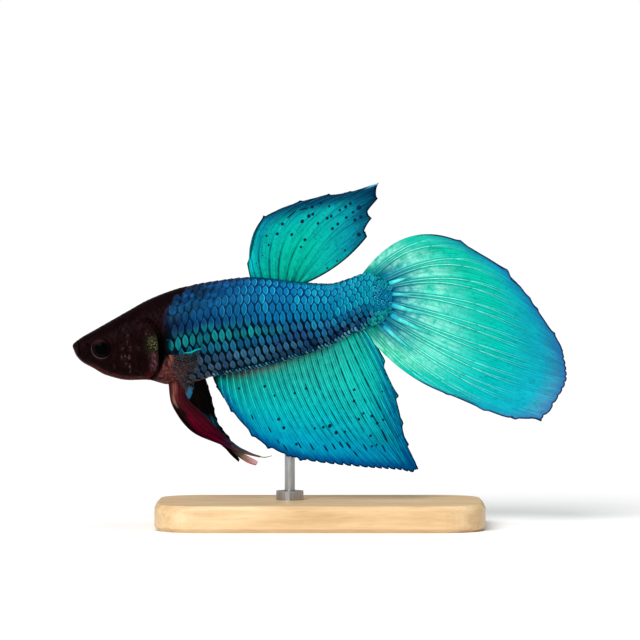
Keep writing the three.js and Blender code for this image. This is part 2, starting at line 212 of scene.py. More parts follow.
eye_low, eye_high = in_mm("eye_left")
eye_x, _, eye_z = (eye_low + eye_high) / 2
eye_radius = (eye_high[0] - eye_low[0]) / 2
opening = eye_radius - 0.2

nose_x, tail_x = BODY_STATIONS[0][0], BODY_STATIONS[-1][0]
fine = np.linspace(nose_x, tail_x, 4000)
count = np.cumsum(1 / np.interp(fine, *np.array(RING_STEPS).T)) * (fine[1] - fine[0])
ring_x = np.interp(np.linspace(count[0], count[-1], int(count[-1])), count, fine)
cap = np.linspace(0, 1, 8)[:-1]
ring_x = np.concatenate((nose_x - NOSE_ROUNDING * (1 - cap**2), ring_x, tail_x + 0.3 * (1 - cap[::-1] ** 2)))
ring_size = np.concatenate((cap, np.ones(len(ring_x) - 14), cap[::-1]))

turn, ring = np.meshgrid(np.linspace(0, 2 * np.pi, FACES_ROUND + 1), np.arange(len(ring_x)))
x, size = ring_x[ring], ring_size[ring]
y, z = body_point(x, turn)
middle = bottom_line(x) + WIDEST * (top_line(x) - bottom_line(x))
skin_at = np.stack((x, y * size, middle + (z - middle) * size), axis=-1)
skin_out = np.cross(np.gradient(skin_at, axis=1), np.gradient(skin_at, axis=0))
skin_out[0], skin_out[-1] = (-1, 0, 0), (1, 0, 0)
skin_out[:, 0] = skin_out[:, -1] = skin_out[:, 0] + skin_out[:, -1]
skin_out /= np.linalg.norm(skin_out, axis=-1, keepdims=True)

x, z = skin_at[..., 0], skin_at[..., 2]
for edge in (opening, opening + 0.3):
    from_eye = np.hypot(x - eye_x, z - eye_z)
    snap = np.where(np.abs(from_eye - edge) < 0.05, edge / np.maximum(from_eye, 0.1), 1)
    x = eye_x + (x - eye_x) * snap
    z = eye_z + (z - eye_z) * snap
skin_at[..., 0], skin_at[..., 2] = x, z


def along_body(x, z):
    """The share of the way from the head's border to the end of the tail's root."""
    return np.clip((x - head_border(z)) / (tail_x - head_border(z)), 0, 1)


def up_body(x, z):
    """The share of the way up from the belly to the back."""
    return np.clip((z - bottom_line(x)) / (top_line(x) - bottom_line(x)), 0, 1)


def folds(x, z, facing):
    """How far the skin rises over the plain form of the body, in mm, and the marks it carries there."""
    sideways = ease(np.abs(facing), 0.35, 0.6)
    keel = near(z - bottom_line(x), 0.45) * (1 - ease(x, -17.4, -16.2))
    bare_breast = np.maximum((1 - ease(z, 25, 26.2)) * (1 - ease(x + 0.35 * (24 - z), -20.6, -19.4)), keel)
    scaled = ease(x, head_border(z) - 0.3, head_border(z) + 0.5) * (1 - bare_breast)
    from_eye = np.hypot(x - eye_x, z - eye_z) - opening
    from_nostril = np.hypot(x - NOSTRIL[0], z - NOSTRIL[1])
    from_pectoral = np.hypot(x - PECTORAL_BASE[0], (z - PECTORAL_BASE[1]) * 0.8)
    mouth, mouth_end = line_distance(x, z, smooth_line(MOUTH))
    lip_fold, lip_end = line_distance(x, z, smooth_line(LIP_FOLD))
    cheek_fold, cheek_end = line_distance(x, z, smooth_line(CHEEK_FOLD))
    gill_fold, gill_end = line_distance(x, z, smooth_line(GILL_FOLD))
    chin_fold, chin_end = line_distance(x, z, smooth_line(CHIN_FOLD))
    cover = -line_distance(x, z, smooth_line(GILL_COVER, closed=True))[0]
    mouth_fade = 1 - ease(mouth_end, 0.93, 1.0)
    cover_free = ease(x, -28.4, -25.6) * sideways

    rise_by = -COAT_DEPTH * scaled - HEAD_COAT_DEPTH * (1 - scaled) * ease(x, -36.4, -34)
    rise_by -= 0.26 * near(mouth, 0.07) * mouth_fade * ease(top_line(x) - z, -0.1, 0.3)
    below_profile = ease(top_line(x) - z, 0, 0.5)
    rise_by += (0.06 * near(mouth - 0.3, 0.17) + 0.1 * near(mouth + 0.32, 0.2)) * mouth_fade * below_profile
    rise_by -= 0.07 * near(lip_fold, 0.09) * ease(lip_end, 0, 0.12) * (1 - ease(lip_end, 0.85, 1))
    rise_by -= 0.26 * near(from_nostril, 0.15) * sideways
    rise_by += 0.07 * near(from_nostril - 0.27, 0.1) * sideways
    rise_by -= 1.15 * (1 - ease(from_eye, -0.06, 0.02)) * sideways
    rise_by += 0.11 * near(from_eye - 0.16, 0.17) * ease(from_eye, -0.05, 0) * sideways
    rise_by -= 0.06 * near(from_eye - 0.5, 0.1) * sideways
    rise_by -= 0.05 * near(cheek_fold, 0.1) * sideways * np.sin(np.pi * cheek_end)
    rise_by -= 0.1 * near(gill_fold, 0.11) * sideways * np.sin(np.pi * gill_end) ** 0.5
    rise_by += 0.07 * near(gill_fold - 0.3, 0.25) * sideways
    rise_by -= 0.08 * near(chin_fold, 0.08) * ease(chin_end, 0, 0.1) * (1 - ease(chin_end, 0.9, 1))
    rise_by += 0.1 * near(np.hypot(x + 31.2, z - 25.4), 1.6) * sideways
    rise_by += 0.26 * ease(cover, -0.03, 0.08) * (1 - 0.75 * ease(cover, 0.1, 2.4)) * cover_free
    rise_by -= 0.42 * near(cover + 0.3, 0.26) * cover_free * (cover < 0)
    rise_by += 0.16 * near(from_pectoral, 0.9) * sideways

    # hollow is painted shade: darkness in the mouth, the lip fold, the nostril, the gill fold, the cheek
    # fold, the groove round the eye and the crevice under the gill cover
    hollow = near(mouth, 0.1) * mouth_fade + 0.3 * near(lip_fold, 0.12) * (1 - ease(lip_end, 0.8, 1))
    hollow += near(from_nostril, 0.17) * sideways + 0.3 * near(gill_fold, 0.16) * sideways
    crevice = ease(-cover, -0.04, 0.06) * cover_free * ease(x, -26.2, -24.8) * (1 - ease(x, -22.9, -22.4))
    crevice *= ease(z, 23.2 + 2.2 * ease(x, -24.4, -23.2), 24.2 + 2.2 * ease(x, -24.4, -23.2))
    crevice *= 1 - 0.85 * ease(z, 28, 30.6)
    hollow += crevice
    rise_by -= 0.25 * crevice
    hollow += 0.4 * near(from_eye - 0.5, 0.12) * sideways + 0.2 * near(cheek_fold, 0.12) * sideways
    low_edge = near(z - bottom_line(x), 0.15) * ease(x, -37.6, -37.2) * (1 - ease(x, -17, -16))
    lip_front = x - nose_x - 0.62 * np.maximum(26.9 - z, 0)
    rosy = low_edge + 0.5 * near(lip_front, 0.09) * ease(z, 25.2, 25.6) * (1 - ease(z, 27.3, 27.7))
    rosy += 0.14 * near(np.hypot((x + 25.7) * 0.45, z - 23.5), 0.42) * sideways * (cover > -0.1)
    rosy += 0.35 * near(chin_fold + 0.1, 0.1) * ease(x, -36, -33)
    breast = ease(x, -25.2, -24) * (1 - ease(x, -17.4, -16.2)) * (1 - ease(z, 24.6, 26)) * (cover < 0)
    breast += 0.9 * near(from_pectoral, 0.75) * sideways
    flecks = sum(share * near(np.hypot((x - spot_x) * 2, z - spot_z), 0.34)
                 for spot_x, spot_z, share in FLECKS)
    green = near(np.hypot((x + 25.15) * 1.05, (z - 28) * 0.8), 0.95) * ease(cover, -0.02, 0.15)
    mauve = near(x + 25.1 + 0.1 * np.abs(z - 25.4), 0.5) * ease(z, 23.6, 24.5) * (1 - ease(z, 26.2, 27))
    mauve = mauve * ease(cover, -0.05, 0.1)
    violet = near(x - head_border(z) + 0.1, 0.32) * ease(z, 29.2, 30.8) * (1 - ease(z, 33.2, 34.8))
    marks = {"scaled": scaled, "hollow": hollow, "rosy": rosy, "breast": breast, "flecks": flecks * sideways,
             "green": green * sideways, "mauve": mauve * sideways, "violet": violet * sideways,
             "along": along_body(x, z), "up": up_body(x, z)}
    return rise_by, marks


def grid_of(name, at):
    """A sheet of square faces through the points of a grid, in mm."""
    rows, columns = at.shape[:2]
    bpy.ops.mesh.primitive_grid_add(x_subdivisions=columns - 1, y_subdivisions=rows - 1, size=1)
    piece = bpy.context.object
    piece.name = name
    piece.data.vertices.foreach_set("co", (at * MM).ravel())
    return piece


def turn_outward(piece, merge=False):
    """Turns the faces of a closed piece outward and shades it smooth, after merging its seam on request."""
    bpy.ops.object.select_all(action="DESELECT")
    bpy.context.view_layer.objects.active = piece
    piece.select_set(True)
    bpy.ops.object.mode_set(mode="EDIT")
    bpy.ops.mesh.select_all(action="SELECT")
    if merge:
        bpy.ops.mesh.remove_doubles(threshold=1e-7)
    bpy.ops.mesh.normals_make_consistent(inside=False)
    bpy.ops.object.mode_set(mode="OBJECT")
    bpy.ops.object.shade_smooth()


def mark(piece, name, values):
    """Keeps one number for each point of a piece, which its material reads by name."""
    kept = piece.data.attributes.new(name, "FLOAT", "POINT")
    kept.data.foreach_set("value", np.asarray(values, np.float32).ravel())


skin_rise, skin_marks = folds(x, z, skin_out[..., 1])
skin = grid_of("skin", skin_at + skin_out * skin_rise[..., None])
for name, values in skin_marks.items():
    mark(skin, name, values)
turn_outward(skin, merge=True)


def paint(red, green, blue):
    """A colour as a painter's chart gives it, from 0 to 255, turned into light."""
    share = np.array((red, green, blue)) / 255
    light = np.where(share <= 0.04045, share / 12.92, ((share + 0.055) / 1.055) ** 2.4)
    return (*light.tolist(), 1.0)


def finish(name, **settings):
    """A new material, with its node tree and its shader set to the given values."""
    material = bpy.data.materials.new(name)
    material.use_nodes = True
    shader = material.node_tree.nodes["Principled BSDF"]
    for setting, given in settings.items():
        shader.inputs[setting.replace("_", " ")].default_value = given
    return material, material.node_tree, shader


class Shade:
    """What a material works out at each point. A sum, product, power or abs of it is one Math node."""

    def __init__(self, socket):
        self.socket = socket

    def __add__(self, other):
        return step("ADD", self, other)

    def __sub__(self, other):
        return step("SUBTRACT", self, other)

    def __rsub__(self, other):
        return step("SUBTRACT", other, self)

    def __mul__(self, other):
        return step("MULTIPLY", self, other)

    def __truediv__(self, other):
        return step("DIVIDE", self, other)

    def __pow__(self, other):
        return step("POWER", self, other)

    def __abs__(self):
        return step("ABSOLUTE", self)

    __radd__, __rmul__ = __add__, __mul__


def feed(socket, given):
    """Gives a socket a number or a colour, or links it to the Shade that works one out."""
    if isinstance(given, Shade):
        socket.id_data.links.new(given.socket, socket)
    else:
        socket.default_value = paint(*given) if socket.type == "RGBA" and len(given) == 3 else given


def cover(shader, colour):
    """Gives the surface its colour."""
    feed(shader.inputs["Base Color"], colour)


def from_node(kind, given, sockets=range(5), result=0, **settings):
    """The result of a new node, with its settings and with the given values in its sockets."""
    tree = next(value.socket.id_data for value in given if isinstance(value, Shade))
    node = tree.nodes.new("ShaderNode" + kind)
    for setting, value in settings.items():
        setattr(node, setting, value)
    for socket, value in zip(sockets, given):
        feed(node.inputs[socket], value)
    return Shade(node.outputs[result])


def step(operation, *given):
    """The result of one Math node."""
    return from_node("Math", given, operation=operation)


def clamp(level):
    """The same level, kept between 0 and 1 by the Math node that it comes from."""
    level.socket.node.use_clamp = True
    return level


def rise(value, low, high):
    """0 below low and 1 above high, smooth between."""
    return from_node("MapRange", (value, low, high, 0.0, 1.0), interpolation_type="SMOOTHSTEP")


def blend(share, first, second, way="MIX"):
    """Two colours mixed by share."""
    return from_node("Mix", (share, first, second), (0, 6, 7), 2, data_type="RGBA", blend_type=way)


def ramp(value, stops):
    """A colour that runs through stops of (place, red, green, blue), or of (place, light) as it is."""
    made = from_node("ValToRGB", (value,))
    band = made.socket.node.color_ramp.elements
    while len(band) < len(stops):
        band.new(0.5)
    for element, (place, *colour) in zip(band, stops):
        element.position = place
        element.color = paint(*colour) if len(colour) == 3 else colour[0]
    return made


def tinted(colour, value, low, high, share=1.0):
    """The colour times a tint. low and high hold a value, with the tint's red, green and blue at it."""
    return blend(share, colour, ramp(value, [(place, (*tint, 1)) for place, *tint in (low, high)]),
                 "MULTIPLY")


def own(tree, name):
    """A number that the piece keeps for each of its points."""
    made = tree.nodes.new("ShaderNodeAttribute")
    made.attribute_name = name
    return Shade(made.outputs["Fac"])


def place_in(tree, stretch=(1, 1, 1), moved=(0, 0, 0), sheet=None):
    """Object coordinates, or the named UV map's, stretched and moved."""
    source = tree.nodes.new("ShaderNodeUVMap" if sheet else "ShaderNodeTexCoord")
    if sheet:
        source.uv_map = sheet
    found = Shade(source.outputs["UV" if sheet else "Object"])
    return from_node("Mapping", (found, stretch, moved), ("Vector", "Scale", "Location"))


def parts(place):
    """The x, y and z of a place."""
    node = from_node("SeparateXYZ", (place,)).socket.node
    return [Shade(output) for output in node.outputs]


def noise(tree, size, detail=2.0, roughness=0.5, stretch=(1, 1, 1), sheet=None):
    """Cloudy noise from 0 to 1 whose lumps are about size across, in metres or in the map's own measure."""
    given = (place_in(tree, stretch, sheet=sheet), 1 / size, detail, roughness)
    return from_node("TexNoise", given, ("Vector", "Scale", "Detail", "Roughness"))


def relief(shader, depth, level, strength=0.6):
    """Fine relief on the surface: level runs from 0 to 1 over depth, in millimetres."""
    bump = from_node("Bump", (level, strength, depth * MM), ("Height", "Strength", "Distance"))
    feed(shader.inputs["Normal"], bump)


# colours of the flank from the head to the tail, on the back, at two heights of the side, and low down
BACK = [(0, 2, 36, 72), (0.12, 4, 60, 106), (0.3, 2, 88, 140), (0.5, 0, 102, 156), (0.75, 0, 124, 158),
        (0.9, 2, 160, 156), (1, 4, 146, 126)]
SIDE = [(0, 8, 34, 78), (0.15, 6, 60, 106), (0.35, 6, 90, 138), (0.5, 4, 106, 156), (0.75, 0, 134, 170),
        (0.9, 0, 174, 184), (1, 6, 120, 150)]
BAND = [(0, 8, 52, 78), (0.1, 8, 70, 92), (0.3, 16, 92, 122), (0.5, 22, 96, 138), (0.7, 16, 98, 148),
        (0.85, 8, 118, 156), (1, 6, 122, 140)]
LOW = [(0, 56, 46, 50), (0.15, 58, 76, 104), (0.35, 52, 96, 126), (0.6, 26, 60, 100), (0.8, 18, 42, 88),
       (0.9, 6, 84, 126), (1, 6, 128, 116)]


def flank_colour(tree):
    """The bright colour of the flank, which the skin and the coat both carry."""
    along, up = own(tree, "along"), own(tree, "up")
    colour = ramp(along, LOW)
    for stops, low, high in ((BAND, 0.16, 0.32), (SIDE, 0.4, 0.56), (BACK, 0.64, 0.86)):
        colour = blend(rise(up, low, high), colour, ramp(along, stops))
    return colour


def ridge_shade_of(tree):
    """Painted shade along the ridge of the back, where the body curves away, fading towards the tail."""
    return rise(own(tree, "up"), 0.95, 1.0) * rise(own(tree, "along"), 0.86, 0.76)


skin_finish, tree, shader = finish("moist_maroon_skin", Roughness=0.4, Specular_IOR_Level=0.02,
                                   Specular_Tint=(1, 0.72, 0.7, 1))
mottle = noise(tree, 0.0011, 4.0, 0.6, (1, 1, 0.55))
grain = noise(tree, 0.00028, 3.0, 0.65)
pores = from_node("TexVoronoi", (place_in(tree, (1, 1, 0.7)), 2000), ("Vector", "Scale"))
head_colour = ramp(mottle, [(0.25, 5, 1, 1), (0.5, 13, 3, 4), (0.8, 27, 10, 11)])
head_colour = blend(rise(grain, 0.45, 0.75) * 0.5, head_colour, (38, 14, 16))
head_colour = blend(rise(own(tree, "up"), 0.6, 0.98) * 0.7, head_colour, (9, 0, 3))
broken = clamp(own(tree, "flecks") * rise(grain, 0.38, 0.62))
head_colour = blend(broken * 0.85, head_colour, (92, 68, 64))
# each mark of the skin: its name and strength, the clouds in it and their colours
for name, share, clouds, stops in (
    ("rosy", 0.9, grain, [(0.3, 78, 12, 14), (0.7, 160, 56, 38)]),
    ("breast", 0.95, noise(tree, 0.0004, 5.0, 0.6, (1, 1, 0.7)),
     [(0.36, 44, 14, 18), (0.52, 80, 40, 40), (0.68, 122, 80, 70)]),
    ("green", 1, noise(tree, 0.00022, 3.0, 0.7), [(0.4, 12, 8, 6), (0.52, 38, 38, 16), (0.68, 112, 118, 84)]),
    ("mauve", 1, noise(tree, 0.0003, stretch=(1, 1, 0.3)), [(0.35, 30, 10, 16), (0.65, 94, 60, 68)]),
    ("violet", 0.8, noise(tree, 0.0005, stretch=(1, 1, 0.5)), [(0.35, 12, 6, 16), (0.65, 52, 42, 78)]),
):
    head_colour = blend(clamp(own(tree, name) * share), head_colour, ramp(clouds, stops))
colour = blend(own(tree, "scaled"), head_colour, blend(0.86, flank_colour(tree), (0, 12, 28)))
# painted shade darkens the mouth, nostrils, folds and the crevice under the gill cover
colour = blend(clamp(own(tree, "hollow") * 0.98), colour, ramp(grain, [(0.5, 0, 0, 1), (0.85, 1, 10, 12)]))
cover(shader, colour)
relief(shader, 0.03, pores * -0.5 + grain, 0.5)
skin.data.materials.append(skin_finish)

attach(skin, "root")
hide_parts("head", "lower_jaw", "gill_cover_left", "gill_cover_right", "trunk_front",
            "trunk_rear", "tail_stalk")

# ---------------------------------------------------------------- the coat of scales
# The scales are thin horny plates, rooted under the one in front and free at the rear, so they
# overlap like tiles towards the tail. Each has an iridescent heart in a near-black edge. They are
# large on the flank, small at the fin roots and on the tail's root, and finest on the head.

# x, with the distance from scale to scale along a row, and from row to row
SCALE_PITCH = [(-26, 1.12, 1.74), (-14, 1.1, 1.72), (-9.5, 1.08, 1.62), (-4, 1.06, 1.4), (1, 1, 1.22),
               (4.5, 0.9, 1.04), (9, 0.8, 0.88)]
# how far apart the rows of one side stand, from the back to the belly, in shares of that distance
ROW_SHARES = (0.86, 0.9, 0.88, 0.92, 1, 1.16, 1.02, 0.98, 0.88, 0.8, 0.82, 0.84, 0.84, 0.84, 0.84)
LAST_FLANK_SCALE = 8
# a flank scale's length and height, in shares of those distances, and how far its free edge stands
# off the skin and its root sinks into it, in mm
SCALE_LENGTH = 1.78
SCALE_HEIGHT = 1.5
SCALE_LIFT = 0.13
SCALE_SINK = 0.1
# the height of the sheath over the anal fin, which small scales fill
SHEATH = 1.8
PLATE_THICKNESS = 0.045
# how finely the skin's length around the body is measured
SHARES = 200
scale_luck = np.random.default_rng(3)

arc_x = np.linspace(nose_x, tail_x, 480)
arc_turn = np.linspace(0, np.pi, 361)
arc_y, arc_z = body_point(arc_x[:, None], arc_turn[None, :])
arc = np.hypot(np.diff(arc_y, axis=1), np.diff(arc_z, axis=1)).cumsum(axis=1)
arc = np.hstack((np.zeros((len(arc_x), 1)), arc))
girths = arc[:, -1]
turns = np.array([np.interp(np.linspace(0, row[-1], SHARES), row, arc_turn) for row in arc])


def girth(x):
    """The length of the skin from the middle of the back to the middle of the belly, in mm."""
    return np.interp(x, arc_x, girths)


def flank(x, arc, way):
    """The point and the outward direction of the plain body, arc mm down from the back.
    way is -1 on the left."""
    whole = girth(x)
    down = np.abs(arc)
    past = down > whole
    share = np.clip(np.where(past, 2 * whole - down, down) / whole, 0, 1) * (SHARES - 1)
    low = np.minimum(share.astype(int), SHARES - 2)
    step = np.clip((x - nose_x) / (tail_x - nose_x), 0, 1) * (len(arc_x) - 1)
    row = np.minimum(step.astype(int), len(arc_x) - 2)
    share, step = share - low, step - row
    turn = ((turns[row, low] * (1 - share) + turns[row, low + 1] * share) * (1 - step)
            + (turns[row + 1, low] * (1 - share) + turns[row + 1, low + 1] * share) * step)
    turn = np.where(past, 2 * np.pi - turn, turn) * np.where(arc < 0, -1, 1)

    def at(x, turn):
        return np.stack((x, *body_point(x, turn)), axis=-1)

    point = at(x, turn)
    out = np.cross(at(x, turn + 0.03) - at(x, turn - 0.03), at(x + 0.05, turn) - at(x - 0.05, turn))
    out /= np.maximum(np.linalg.norm(out, axis=-1, keepdims=True), 1e-9)
    mirror = np.stack((np.ones_like(x), -way * np.ones_like(x), np.ones_like(x)), axis=-1)
    return point * mirror, out * mirror


def plate(divisions):
    """One flat round scale: its points from root to rim and from side to side, and its faces."""
    n = divisions + 1
    p, q = np.meshgrid(np.linspace(-1, 1, n), np.linspace(-1, 1, n))
    a, b = (p * np.sqrt(1 - q * q / 2)).ravel(), (q * np.sqrt(1 - p * p / 2)).ravel()
    index = np.arange(n * n).reshape(n, n)
    faces = [(index[i, j], index[i, j + 1], index[i + 1, j + 1], index[i + 1, j])
             for i in range(divisions) for j in range(divisions)]
    rim = np.concatenate((index[0, :-1], index[:-1, -1], index[-1, :0:-1], index[:0:-1, 0]))
    under = n * n + np.arange(len(rim))
    middle = n * n + len(rim)
    for k in range(len(rim)):
        after = (k + 1) % len(rim)
        faces.append((rim[k], under[k], under[after], rim[after]))
        faces.append((under[k], middle, under[after]))
    a = np.concatenate((a, a[rim], [0]))
    b = np.concatenate((b, b[rim], [0]))
    below = np.concatenate((np.zeros(n * n), np.ones(len(rim) + 1)))
    return a, b, below, faces


def made_of(name, corners, faces):
    """A closed piece with these corners, in mm, and these faces."""
    mesh = bpy.data.meshes.new(name)
    mesh.from_pydata((corners * MM).tolist(), [], faces)
    piece = bpy.data.objects.new(name, mesh)
    bpy.context.scene.collection.objects.link(piece)
    turn_outward(piece)
    return piece


def lay_flat(piece, name, at):
    """Gives a piece a UV map that holds a place for each of its points."""
    corners = np.empty(len(piece.data.loops), np.int32)
    piece.data.loops.foreach_get("vertex_index", corners)
    piece.data.uv_layers.new(name=name).data.foreach_set("uv", at[corners].ravel())


def coat(name, scales, divisions, material):
    """Lays scales on the skin as one mesh.
    Each row of scales holds x, arc, way, length, height, lift, sink and turn."""
    x, arc, way, long, tall, lift, sink, turned = np.array(scales, float).T[:, :, None]
    a, b, below, faces = plate(divisions)
    over_x = a * long / 2 * np.cos(turned) - b * tall / 2 * np.sin(turned)
    over_arc = a * long / 2 * np.sin(turned) + b * tall / 2 * np.cos(turned)
    at_x, at_arc = np.clip(x + over_x, nose_x, tail_x + 0.4), arc + over_arc
    point, out = flank(at_x, at_arc, way + 0 * at_x)
    level, marks = folds(at_x, point[..., 2], out[..., 1])
    dome = np.minimum(0.3 * lift, 0.04)
    level += -sink + (lift + sink) * ((a + 1) / 2) ** 1.15 + dome * (1 - a * a - b * b) * (1 - below)
    level -= below * np.minimum(PLATE_THICKNESS, lift * 0.5)
    point += out * level[..., None]
    count, size = at_x.shape
    corners = [tuple(int(corner) + k * size for corner in face) for k in range(count) for face in faces]
    piece = made_of(name, point.reshape(-1, 3), corners)
    root_x, root_arc = (x - long * 0.3)[:, 0], arc[:, 0]
    middle = flank(x[:, 0], arc[:, 0], way[:, 0])[0]
    marks["along"] = np.repeat(along_body(middle[:, 0], middle[:, 2]), size)
    marks["up"] = np.repeat(up_body(middle[:, 0], middle[:, 2]), size)
    marks["tone"] = np.repeat(scale_luck.random(count), size)
    for mark_name, values in marks.items():
        mark(piece, mark_name, values)
    lay_flat(piece, "Scale", np.tile(np.stack(((a + 1) / 2, (b + 1) / 2), axis=-1), (count, 1)))
    low, high = root_x.min(), root_x.max()
    root = np.stack(((root_x - low) / (high - low + 0.1), np.abs(root_arc) / girth(root_x)), axis=-1)
    root = root * 0.98 + 0.01
    patch = np.repeat(root, size, axis=0) + np.tile(np.stack((a, b), axis=-1), (count, 1)) * 0.0015
    lay_flat(piece, "OFBake", patch)
    piece.data.materials.append(material)
    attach(piece, "root")


column_pitch, row_pitch = (through([(row[0], row[k]) for row in SCALE_PITCH]) for k in (1, 2))


def scale_row(start, end, pitch, shift):
    """x of the scales of one row, from start to end."""
    return np.arange(start + shift * pitch, end, pitch)


scale_finish, tree, shader = finish("iridescent_scale", Roughness=0.34, Specular_IOR_Level=0.09,
                                    Specular_Tint=(0.12, 0.75, 1, 1))
from_root, across_scale, _ = parts(place_in(tree, sheet="Scale"))
along, up, tone = own(tree, "along"), own(tree, "up"), own(tree, "tone")
# each heart is a lens with pointed ends, which leans back on the lower flank
down = across_scale - 0.5
lean = down * (rise(up, 0.66, 0.4) * 0.2)
over = (from_root - 0.762 - lean) / 0.25
beside = down / 0.45
wobble = noise(tree, 0.0006, 2.0) * 0.36
lens = abs(over) + beside * beside + wobble - 0.18
bright = flank_colour(tree)
# violet on the lower flank towards the tail, and teal in the lower half of two rows in front
cloud = noise(tree, 0.0022, 2.0)
violet = rise(cloud, 0.44, 0.66) * rise(up, 0.5, 0.25) * rise(along, 0.35, 0.7)
bright = blend(violet * 0.7, bright, (56, 54, 112))
band_up = up + along * 0.12
in_band = rise(band_up, 0.365, 0.41) * rise(band_up, 0.62, 0.57) * rise(along, 0.62, 0.36)
low_half = rise(down + rise(band_up, 0.51, 0.45) * 0.4 + tone * 0.25, 0.02, 0.36)
teal = in_band * low_half
bright = blend(in_band * 0.45, bright, (18, 44, 88))
bright = blend(teal * 0.78, bright, (12, 126, 122))
stray = rise(tone, 0.82, 0.96) * rise(along, 0.25, 0.5) * rise(up, 0.3, 0.45)
bright = blend(stray * 0.28, bright, (12, 160, 170))
# fine streaks, a darker core, and a pale free edge that is partly the scale's own rim and partly a painted
# highlight
streaks = noise(tree, 1.0, 3.0, 0.6, (16, 3, 1), "Scale") + tone * 0.22
bright = tinted(bright, streaks, (0.32, 0.42, 0.5, 0.62), (0.8, 1.22, 1.18, 1.12))
toned = tinted(bright, tone, (0.1, 0.66, 0.72, 0.8), (0.9, 1.2, 1.2, 1.16))
bright = blend(rise(up, 0.55, 0.3), bright, toned)
core = rise(lens, 0.62, 0.15) * rise(up, 0.95, 0.6)
bright = blend(core * 0.4, bright, (10, 46, 88))
gap = ramp(up, [(0.1, 2, 5, 14), (0.4, 0, 8, 24), (0.6, 0, 20, 52), (0.8, 0, 38, 82), (0.95, 0, 50, 96)])
far_gap = rise(along, 0.62, 0.84) * rise(up, 0.26, 0.5)
bright = blend(far_gap * 0.35, bright, (0, 72, 112))
gap = blend(far_gap, gap, (0, 78, 118))
gap = blend(rise(along, 0.16, 0.02) * rise(up, 0.3, 0.5), gap, (3, 4, 10))
colour = blend(rise(lens, 0.98, 0.76), gap, bright)
# the pale rear rim is partly the scale's own colour and partly a painted highlight, strongest on the back and
# towards the tail
edge_line = rise(lens, 0.55, 0.7) * rise(lens, 0.9, 0.78)
rim_and_highlight = edge_line * rise(over, 0.0, 0.45)
on_back = rise(up, 0.6, 0.8) * rise(along, 0.12, 0.3)
to_tail = rise(along, 0.6, 0.85) * rise(up, 0.3, 0.5)
rear_share = clamp((step("MAXIMUM", on_back * 0.75, to_tail) + 0.16) * (tone + 0.35))
colour = blend(rim_and_highlight * rear_share, colour, (60, 190, 226))
# on the belly some scales are pale rings around a dot
ringed = rise(tone, 0.45, 0.6) * rise(up, 0.3, 0.16) * rise(along, 0.28, 0.42)
ring_line = clamp(rise(lens, 0.42, 0.56) * rise(lens, 0.86, 0.74) + rise(lens, 0.2, 0.12))
colour = blend(ringed * ring_line * 0.28, colour, (66, 146, 168))
# the first scales behind the head are dim and mauve
by_head = rise(along, 0.08, 0.01) * rise(up, 0.4, 0.6) * (tone * 0.35 + 0.65)
colour = blend(by_head, colour, blend(rise(lens, 1.0, 0.5), (4, 2, 6), (20, 34, 72)))
# the back in front is clouded with dark skin, which hides the scales' hearts
front_back = rise(up, 0.66, 0.84) * rise(along, 0.4, 0.12)
dusk = ramp(noise(tree, 0.0007, 4.0, 0.6), [(0.36, 4, 12, 34), (0.5, 2, 50, 100), (0.66, 4, 92, 150)])
colour = blend(front_back * 0.55, colour, dusk)
dim = rise(up, 0.5, 0.7) * rise(along, 0.3, 0.02) * rise(cloud, 0.42, 0.58)
colour = blend(dim * 0.7, colour, (6, 10, 24))
colour = blend(clamp(own(tree, "rosy") * 0.8), colour, (116, 72, 44))
# painted shade along the ridge of the back, where the body curves away
colour = blend(ridge_shade_of(tree) * 0.75, colour, (0, 22, 52))
# painted shade darkens the scales that lie over the skin's creases
colour = blend(own(tree, "hollow"), colour, (0, 1, 3))
cover(shader, colour)
relief(shader, 0.02, streaks, 0.4)

column_x = np.arange(-24.2, LAST_FLANK_SCALE, 0.02)
column_count = np.cumsum(0.02 / column_pitch(column_x))
for side, way in (("left", -1), ("right", 1)):
    front, rear = [], []
    for row in range(len(ROW_SHARES)):
        for column in range(int(column_count[-1])):
            place = float(np.interp(column + 0.5 * (row % 2), column_count, column_x))
            tall, long = float(row_pitch(place)), SCALE_LENGTH * float(column_pitch(place))
            arc_down = (sum(ROW_SHARES[:row]) + 0.3) * tall
            spot = flank(np.array([place]), np.array([arc_down]), np.array([way]))[0][0]
            ends = girth(place) - (SHEATH if place > -16.4 else 0)
            bare = spot[2] < 25.6 and place + 0.35 * (24 - spot[2]) < -19.6
            if arc_down > ends or place < head_border(spot[2]) + (1.2 if spot[2] < 26.6 else -0.3) or bare:
                continue
            jitter = scale_luck.normal(size=4)
            scale = (place + 0.04 * jitter[0], arc_down + 0.04 * jitter[1], way,
                     long * (1 + 0.03 * jitter[2]),
                     SCALE_HEIGHT * tall * ROW_SHARES[row] * (1 + 0.03 * jitter[3]),
                     SCALE_LIFT, SCALE_SINK, 0.05 * jitter[3])
            (front if place < -8 else rear).append(scale)
    coat("flank_scales_front_" + side, front, 6, scale_finish)
    coat("flank_scales_rear_" + side, rear, 6, scale_finish)

